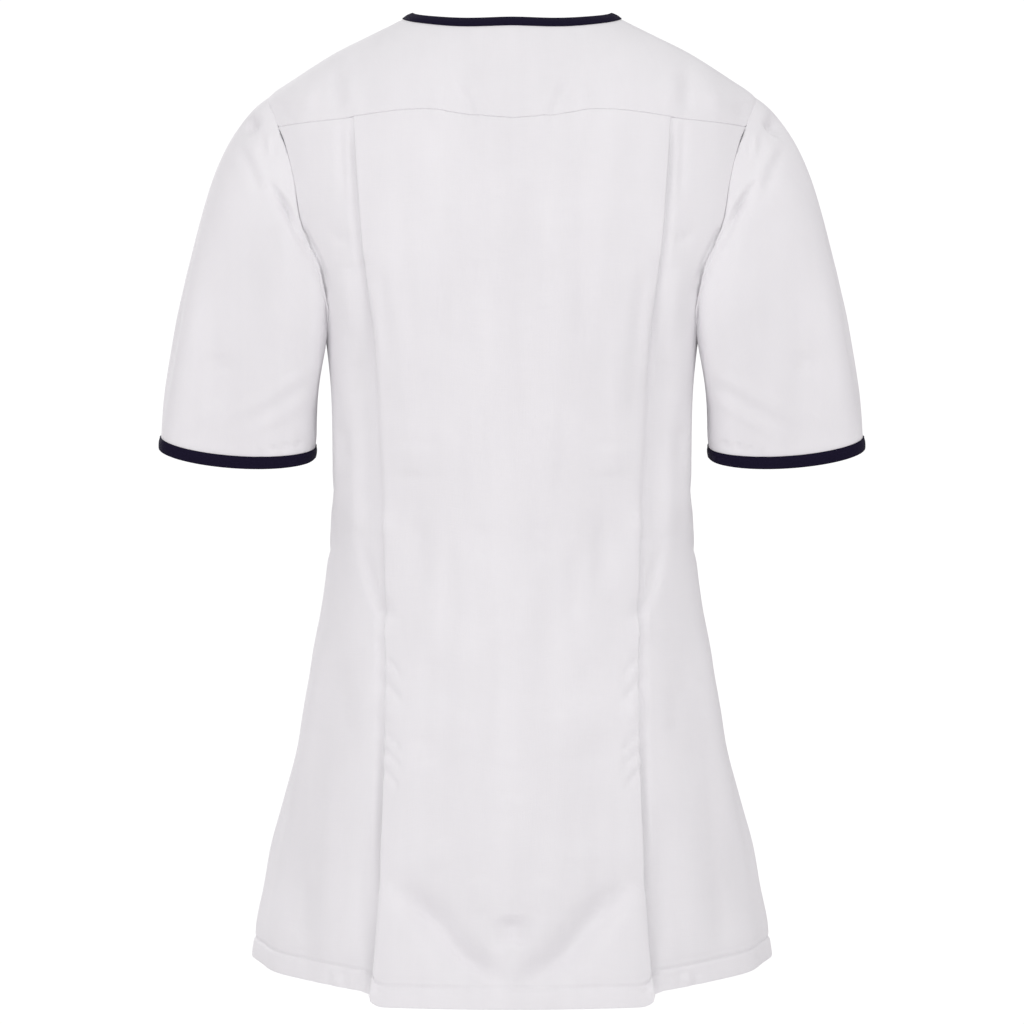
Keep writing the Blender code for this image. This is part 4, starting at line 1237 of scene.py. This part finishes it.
def sleeve_lines():
    """Points of the left sleeve, spaced along lines from the armhole to the cuff, and how
    far the armhole seam's own relief moves each line."""
    steps = sleeve_steps()
    on_back = steps <= ARM_STEPS
    back, front = armhole_point(steps, "back"), armhole_point(2 * ARM_STEPS - steps, "front")
    seam = np.where(on_back[:, None], back, front)
    outward = np.empty_like(seam)
    for side, chosen in (("back", on_back), ("front", ~on_back)):
        x, z = seam[chosen, 0], seam[chosen, 2]
        outward[chosen] = normal_at(turn_at(x, z, side), z, side)
    angle = pi * steps / ARM_STEPS
    low = (1 - np.cos(angle)) / 2
    shape = {key: lerp(SLEEVE["outer"][key], SLEEVE["inner"][key], low) for key in SLEEVE["outer"]}
    leave, arrive = np.radians(shape["leave"]), np.radians(shape["arrive"])
    billow = np.where(on_back, SLEEVE_BILLOW["back"], SLEEVE_BILLOW["front"])
    billow = billow * np.abs(np.sin(angle)) * 2 * low
    forward = np.full_like(arrive, SLEEVE_FORWARD)
    start_way = unit(np.stack([np.cos(leave), billow, -np.sin(leave)], axis=-1))
    end_way = unit(np.stack([np.cos(arrive), forward, -np.sin(arrive)], axis=-1))
    start = seam + outward * (SLEEVE_PROUD + UNDERARM_CLEAR * low)[:, None]
    end = cuff_points(angle)
    first_handle = start + start_way * shape["leave_pull"][:, None]
    last_handle = end - end_way * shape["arrive_pull"][:, None]
    t = np.linspace(0, 1, SAMPLES["sleeve"])[:, None, None]
    curve = (
        start * (1 - t) ** 3
        + first_handle * 3 * t * (1 - t) ** 2
        + last_handle * 3 * t * t * (1 - t)
        + end * t ** 3
    )
    points = resample(curve, np.linspace(0, 1, SLEEVE_RINGS) ** SLEEVE_CROWDING)
    points = rested(points + sleeve_lap(steps, arc_lengths(points, 0)), on_back)
    shift = outward * body_relief(seam, outward)[:, None]
    return points, shift


def cuff_points(angle):
    """The left cuff's edge: a squared ring that hangs in a round bow on the back face."""
    cosine, sine = np.cos(angle), np.sin(angle)
    size = (np.abs(cosine) ** CUFF_SQUARE + np.abs(sine) ** CUFF_SQUARE) ** (-1 / CUFF_SQUARE)
    across, behind = size * cosine, size * sine
    bow = np.sqrt(np.maximum(1 - across ** 2, 0.0)) * np.where(behind >= 0, 1, -1)
    outwards = CUFF_RISE["outwards"] * CUFF["half_width"] * across
    z = CUFF["z"] + outwards - CUFF_RISE["forwards"] * CUFF["half_depth"] * bow
    x, y = CUFF["x"] + CUFF["half_width"] * across, CUFF["y"] + CUFF["half_depth"] * behind
    return np.stack([x, y, z], axis=-1)


def sleeve_lap(steps, far):
    """Below the shoulder blade the sleeve folds over its own seam and hides it: how far
    each point moves for that, from its line's armhole step and distance from the seam."""
    lap = SLEEVE_LAP
    around = smooth((steps - lap["from"]) / lap["rise"])
    around = around * (1 - smooth((steps - lap["to"]) / lap["fall"]))
    down = smooth(far / lap["turn"]) * (1 - smooth((far - lap["turn"]) / lap["length"]))
    return (around * down)[..., None] * np.array(lap["move"])


def rested(points, on_back):
    """The back lines of the sleeve, kept outside the body panel that they lie on."""
    x, y, z = np.moveaxis(points, -1, 0)
    turn = turn_at(x, z, "back")
    floor, normal = on_body(turn, z, "back"), normal_at(turn, z, "back")
    floor = floor + normal * body_relief(floor, normal)[..., None]
    least = floor[..., 1] + LAP_CLEAR["gap"] * smooth(arc_lengths(points, 0) / LAP_CLEAR["from_seam"])
    beside = smooth((ring(z, "back")[0] - x) / LAP_CLEAR["from_side"]) * on_back
    moved = np.maximum(least - y, 0.0) * beside
    return points + moved[..., None] * np.array([0.0, 1.0, 0.0])


def resample(curve, shares):
    """Each line of a grid, cut at even shares of its own length."""
    travelled = arc_lengths(curve, 0)
    made = np.empty((len(shares),) + curve.shape[1:])
    for k in range(curve.shape[1]):
        made[:, k] = sampled(shares * travelled[-1, k], travelled[:, k], curve[:, k])
    return made


def wrapped(array, margin=3):
    """A tube's grid with a few of its columns repeated at either end."""
    return np.concatenate([array[:, -margin:], array, array[:, :margin]], axis=1)


def unwrapped(array, margin=3):
    """Undoes wrapped."""
    return array[:, margin:-margin]


def tube_normals(points):
    """Outward normals of a tube's grid."""
    around = wrapped(points)
    down, across = np.gradient(around, axis=0), np.gradient(around, axis=1)
    normals = unwrapped(unit(np.cross(across, down)))
    inwards = np.sum(normals * (points - points.mean(axis=1, keepdims=True))) < 0
    return -normals if inwards else normals


def sleeve_sheet():
    """The left sleeve on its folds, before its edges."""
    points, shift = sleeve_lines()
    normals = tube_normals(points)
    far = arc_lengths(points, 0)
    above_cuff = smooth((far[-1:] - far) / SLEEVE_RELIEF["above_cuff"])
    own = smooth(far / SLEEVE_RELIEF["from_seam"]) * lerp(SLEEVE_RELIEF["at_cuff"], 1.0, above_cuff)
    points = points + normals * (own * sleeve_relief(points, normals))[..., None]
    points = points + shift[None] * (1 - smooth(far / SLEEVE_RELIEF["of_seam"]))[..., None]
    return points, tube_normals(points)


def build_sleeve(hand, sheet):
    strength = wrapped(armhole_strength(sleeve_steps())[None])[0]
    sheet = seam_edge(tuple(wrapped(array) for array in on_hand(sheet, hand)), "top", strength)
    sheet = tuple(unwrapped(array) for array in sheet)
    return make_sheet("sleeve_cloth_" + hand, sheet, cloth, CLOTH, closed=True)


# ---------------------------------------------------------------- bindings

def tape_profile():
    """Distance from the cloth edge and height off the cloth's middle, from the sewn edge of
    the outer leg round the turn to the sewn edge of the inner leg."""
    legs = [(BINDING_REACH + BINDING_EDGE["past"], BINDING_EDGE["stand"])]
    for share in np.linspace(1.0, 0.0, BINDING_ROWS["outer"]):
        far = BINDING_REACH * share
        crown = BINDING_CROWN * np.sin(pi * share)
        off_stitch = (far - BINDING_STITCH) / BINDING_GROOVE["width"]
        legs.append((far, BINDING_STAND + crown - BINDING_GROOVE["depth"] * np.exp(-off_stitch ** 2)))
    for angle in HALF_TURN[:-1]:
        legs.append((-BINDING_STAND * np.sin(angle), BINDING_STAND * np.cos(angle)))
    for share in np.linspace(0.0, 1.0, BINDING_ROWS["inner"]):
        legs.append((BINDING_REACH * share, -BINDING_STAND))
    return legs


def tape_sheet(surface):
    """A strip folded over an edge. surface(s) gives the points and normals of the cloth at
    a distance s from the edge."""
    edge, ways = surface(0.0)
    outward = unit(surface(0.001)[0] - edge)
    points, normals = [], []
    for far, height in tape_profile():
        place, normal = surface(far) if far >= 0 else (edge + outward * far, ways)
        points.append(place + normal * height)
        normals.append(normal * (1 if height >= 0 else -1))
    return np.array(points), np.array(normals)


def bind_edge(place, hand, surface, closed=False):
    """The tape over an edge and the stitches that hold it."""
    tape = make_sheet(place + "_tape" + hand, tape_sheet(surface), binding, TAPE, closed)
    line, ways = surface(BINDING_STITCH)
    line = line + ways * STITCH_STAND
    return tape, make_stitches(place + "_stitches" + hand, line, ways, dark_thread, closed)


def build_neck_tape():
    """One strip, from the right front's edge round the back to under that edge again."""
    first = OPENING_COLUMN + NECK_TAPE_ENDS["over"]
    last = OPENING_COLUMN + NECK_TAPE_ENDS["under"]
    count = NECK_TAPE_LINES
    parts = (
        ("front", "L", np.linspace(first, 0, count["over"])[:-1], 0.0),
        ("front", "R", np.linspace(0, NECK_COLUMNS, count["front"])[:-1], 0.0),
        ("back", "R", np.linspace(NECK_COLUMNS, 0, count["back"])[:-1], 0.0),
        ("back", "L", np.linspace(0, NECK_COLUMNS, count["back"])[:-1], 0.0),
        ("front", "L", np.linspace(NECK_COLUMNS, last, count["under"]), FRONT_SINK["neck"]),
    )

    def surface(far):
        found = [neck_surface(*part, far) for part in parts]
        return tuple(np.concatenate(arrays) for arrays in zip(*found))

    return bind_edge("neck", "", surface)


def neck_surface(side, hand, columns, sink, far):
    """Points and normals of the cloth at a distance outside the neck edge."""
    edge = neck_edge(columns, side)
    ridge_end = neck_edge(np.array(float(NECK_COLUMNS)), side)
    run = NECK_TURN["step"]
    ridge = unit(np.array([run, 0.0, ridge_z(ridge_end[0] + run) - ridge_end[2]]))
    beside = smooth((columns - NECK_COLUMNS + NECK_TURN["columns"]) / NECK_TURN["columns"])
    outward = unit(lerp(neck_outward(columns, side), ridge, beside[:, None]))
    place = edge + outward * far
    spot = spot_over(place[:, 0], place[:, 1], side)
    z = ridge_z(spot[:, 0]) - spot[:, 1] ** 2
    turn = turn_at(spot[:, 0], z, side)
    points = on_body(turn, z, side) if far else edge
    points, normals = on_hand((points, normal_at(turn, z, side)), hand)
    return laid((points, normals), sink * (1 - past_opening(columns)))


def build_cuff_tape(hand, sheet):
    sheet = on_hand(sheet, hand)
    return bind_edge("cuff", "_" + hand, lambda far: stitch_line(sheet, far), closed=True)


# ---------------------------------------------------------------- materials

class Tree:
    """Shorthand for building the node tree of a material or a world."""

    def __init__(self, owner):
        owner.use_nodes = True
        self.tree = owner.node_tree

    def add(self, kind, **settings):
        node = self.tree.nodes.new(kind)
        for key, value in settings.items():
            setattr(node, key, value)
        return node

    def link(self, source, target):
        self.tree.links.new(source, target)


class Nodes(Tree):
    """One material, its shader and the patterns that vary it."""

    def __init__(self, name, roughness, sheen, sheen_tint=WHITE, specular=0.25):
        self.material = bpy.data.materials.new(name)
        super().__init__(self.material)
        self.shader = self.tree.nodes["Principled BSDF"]
        uniform = {
            "Roughness": roughness, "Specular IOR Level": specular,
            "Sheen Weight": sheen, "Sheen Roughness": 0.5, "Sheen Tint": (*sheen_tint, 1.0),
        }
        for socket, value in uniform.items():
            self.shader.inputs[socket].default_value = value

    def grain(self):
        """Metres along and across the sheet's threads."""
        return self.add("ShaderNodeUVMap", uv_map="grain").outputs["UV"]

    def place(self):
        return self.add("ShaderNodeTexCoord").outputs["Object"]

    def math(self, operation, first, second=None):
        node = self.add("ShaderNodeMath", operation=operation)
        for socket, value in zip(node.inputs, (first, second)):
            if isinstance(value, (int, float)):
                socket.default_value = value
            elif value is not None:
                self.link(value, socket)
        return node.outputs[0]

    def noise(self, place, scale, detail, stretch=(1, 1, 1)):
        mapping = self.add("ShaderNodeMapping")
        mapping.inputs["Scale"].default_value = stretch
        self.link(place, mapping.inputs["Vector"])
        noise = self.add("ShaderNodeTexNoise")
        noise.inputs["Scale"].default_value = scale
        noise.inputs["Detail"].default_value = detail
        self.link(mapping.outputs["Vector"], noise.inputs["Vector"])
        return noise.outputs["Fac"]

    def weave(self, grain, pitch):
        """Height of a plain weave: threads that pass over and under each other."""
        split = self.add("ShaderNodeSeparateXYZ")
        self.link(grain, split.inputs[0])
        waves = []
        for axis in ("X", "Y"):
            turn = self.math("MULTIPLY", split.outputs[axis], pi / pitch)
            waves.append(self.math("SINE", turn))
        return self.math("MULTIPLY", waves[0], waves[1])

    def bump(self, height, strength, distance, under=None):
        bump = self.add("ShaderNodeBump")
        bump.inputs["Strength"].default_value = strength
        bump.inputs["Distance"].default_value = distance
        self.link(height, bump.inputs["Height"])
        if under is not None:
            self.link(under, bump.inputs["Normal"])
        return bump.outputs["Normal"]

    def colour(self, factor, dark, light):
        ramp = self.add("ShaderNodeValToRGB")
        for element, position, colour in zip(ramp.color_ramp.elements, RAMP_ENDS, (dark, light)):
            element.position = position
            element.color = (*colour, 1.0)
        self.link(factor, ramp.inputs["Fac"])
        self.link(ramp.outputs["Color"], self.shader.inputs["Base Color"])

    def finished(self, normal):
        self.link(normal, self.shader.inputs["Normal"])
        return self.material


def make_cloth():
    """White poplin: fine plain weave, slubs along both threads, and soft upright streaks
    of painted shade, laid at random in the base colour."""
    nodes = Nodes("white_poplin", roughness=0.86, sheen=0.06)
    grain = nodes.grain()
    place = nodes.place()
    mottle = nodes.noise(place, scale=28, detail=3)
    warp = nodes.noise(grain, scale=60, detail=2, stretch=(26, 1, 1))
    weft = nodes.noise(grain, scale=60, detail=2, stretch=(1, 26, 1))
    slub = nodes.math("ADD", warp, weft)
    # upright streaks and broad clouds of painted shade, laid at random in object space and mixed into
    # the base colour
    upright_painted_shade = nodes.noise(place, scale=44, detail=2, stretch=(1, 0.3, 0.13))
    cloudy_painted_shade = nodes.noise(place, scale=12, detail=2, stretch=(1, 1, 0.7))
    streaks = nodes.math("ADD", upright_painted_shade, cloudy_painted_shade)
    fine = nodes.math("MULTIPLY", nodes.math("ADD", mottle, slub), 1 / 3)
    broad_painted_shade = nodes.math("MULTIPLY", streaks, 1 / 2)
    fine_part = nodes.math("MULTIPLY", fine, 1 - PAINTED_SHADE_SHARE)
    factor = nodes.math("ADD", fine_part, nodes.math("MULTIPLY", broad_painted_shade, PAINTED_SHADE_SHARE))
    nodes.colour(factor, CLOTH_DARK, CLOTH_LIGHT)
    rough = nodes.bump(slub, strength=0.22, distance=0.00025)
    weave = nodes.weave(grain, pitch=0.00042)
    return nodes.finished(nodes.bump(weave, strength=0.35, distance=0.00006, under=rough))


def make_tape():
    """Dark folded tape with a fine crosswise rib."""
    nodes = Nodes("navy_tape", roughness=0.78, sheen=0.02, sheen_tint=(0.6, 0.6, 0.8), specular=0.08)
    grain = nodes.grain()
    nodes.colour(nodes.noise(grain, scale=900, detail=2), TAPE_DARK, TAPE_LIGHT)
    slub = nodes.bump(nodes.noise(grain, scale=220, detail=2), strength=0.3, distance=0.0002)
    weave = nodes.weave(grain, pitch=0.00050)
    return nodes.finished(nodes.bump(weave, strength=0.6, distance=0.00012, under=slub))


def make_thread(name, dark, light):
    """Twisted sewing thread."""
    nodes = Nodes(name, roughness=0.7, sheen=0.1)
    twist = nodes.noise(nodes.place(), scale=3000, detail=1)
    nodes.colour(twist, dark, light)
    return nodes.finished(nodes.bump(twist, strength=0.4, distance=0.0001))


def make_floor_material():
    nodes = Nodes("studio_floor", roughness=0.9, sheen=0.0)
    nodes.colour(nodes.noise(nodes.place(), scale=3, detail=2), FLOOR_DARK, FLOOR_LIGHT)
    return nodes.material


# ---------------------------------------------------------------- studio

def aim(thing, at, towards):
    thing.location = at
    way = Vector(towards) - thing.location
    thing.rotation_euler = way.to_track_quat("-Z", "Y").to_euler()


def make_floor():
    mesh = bmesh.new()
    bmesh.ops.create_circle(mesh, cap_ends=True, segments=FLOOR["segments"], radius=FLOOR["radius"])
    data = bpy.data.meshes.new("floor")
    mesh.to_mesh(data)
    mesh.free()
    data.materials.append(make_floor_material())
    floor = placed("floor", data)
    floor.location.z = FLOOR["z"]


def make_area_light(name, settings):
    light = bpy.data.lights.new(name, "AREA")
    light.shape = "RECTANGLE"
    light.size, light.size_y = settings["size"]
    light.energy = settings["energy"]
    light.color = settings["colour"]
    lamp = placed(name, light)
    lamp.visible_camera = False
    aim(lamp, settings["at"], AIM)


def make_world():
    """A white backdrop for the eye, and a softer light from all round for the cloth."""
    world = bpy.data.worlds.new("studio")
    nodes = Tree(world)
    around = nodes.tree.nodes["Background"]
    around.inputs["Strength"].default_value = WORLD["strength"]
    way = nodes.add("ShaderNodeTexCoord")
    split = nodes.add("ShaderNodeSeparateXYZ")
    ramp = nodes.add("ShaderNodeValToRGB")
    half = nodes.add("ShaderNodeMapRange")
    half.inputs["From Min"].default_value = -1.0
    for position, colour in WORLD["ramp"]:
        if position in (0.0, 1.0):
            element = ramp.color_ramp.elements[int(position)]
        else:
            element = ramp.color_ramp.elements.new(position)
        element.color = (*colour, 1.0)
    nodes.link(way.outputs["Generated"], split.inputs[0])
    nodes.link(split.outputs["Z"], half.inputs["Value"])
    nodes.link(half.outputs["Result"], ramp.inputs["Fac"])
    nodes.link(ramp.outputs["Color"], around.inputs["Color"])
    backdrop = nodes.add("ShaderNodeBackground")
    backdrop.inputs["Color"].default_value = (*WHITE, 1.0)
    backdrop.inputs["Strength"].default_value = WORLD["backdrop"]
    seen = nodes.add("ShaderNodeLightPath")
    mix = nodes.add("ShaderNodeMixShader")
    nodes.link(seen.outputs["Is Camera Ray"], mix.inputs[0])
    nodes.link(around.outputs[0], mix.inputs[1])
    nodes.link(backdrop.outputs[0], mix.inputs[2])
    nodes.link(mix.outputs[0], nodes.tree.nodes["World Output"].inputs["Surface"])
    bpy.context.scene.world = world


def make_studio():
    make_world()
    bpy.context.scene.view_settings.view_transform = "Standard"
    make_floor()
    for name, settings in LAMPS.items():
        make_area_light(name, settings)


def make_camera():
    camera = bpy.data.cameras.new("camera")
    camera.sensor_width = SENSOR
    camera.lens = SENSOR * CAMERA["focal_share"]
    camera.clip_start = CLIP_START
    holder = placed("camera", camera)
    aim(holder, CAMERA["at"], CAMERA["towards"])
    bpy.context.scene.camera = holder


# ---------------------------------------------------------------- pieces on the frame's body

def declare(piece, node=None):
    """Rides the piece on the tunic's one body, and hides the frame's part that it stands for, if any.
    """
    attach(piece, "root")
    if node is not None:
        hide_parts(node)


# ---------------------------------------------------------------- the tunic

make_studio()
make_camera()
cloth = make_cloth()
binding = make_tape()
white_thread = make_thread("white_thread", CLOTH_DARK, WHITE_THREAD)
dark_thread = make_thread("dark_thread", TAPE_DARK, DARK_THREAD)

pieces = {}
lines = {}
pieces["back_yoke"] = build_yoke()
pieces["back_centre"], lines["centre_back"] = build_centre_back()
for hand in FRONTS:
    pieces["back_side_" + hand], lines["side_back_" + hand] = build_side_back(hand)
pieces["front_over"], lines["front_right"], lines["opening"] = build_front_over()
pieces["front_under"], lines["front_left"] = build_front_under()
left_sleeve = sleeve_sheet()
for hand in FRONTS:
    pieces["sleeve_" + hand] = build_sleeve(hand, left_sleeve)
tapes = {"neck_binding": build_neck_tape()}
for hand in FRONTS:
    tapes["cuff_binding_" + hand] = build_cuff_tape(hand, left_sleeve)

for node, piece in pieces.items():
    declare(piece, node)
for node, (tape, stitches) in tapes.items():
    declare(tape, node)
    declare(stitches)
for name, (line, ways) in lines.items():
    declare(make_stitches("stitches_" + name, line, ways, white_thread))

for name, cut in CUTS.items():
    if "{hand}" not in name:
        continue
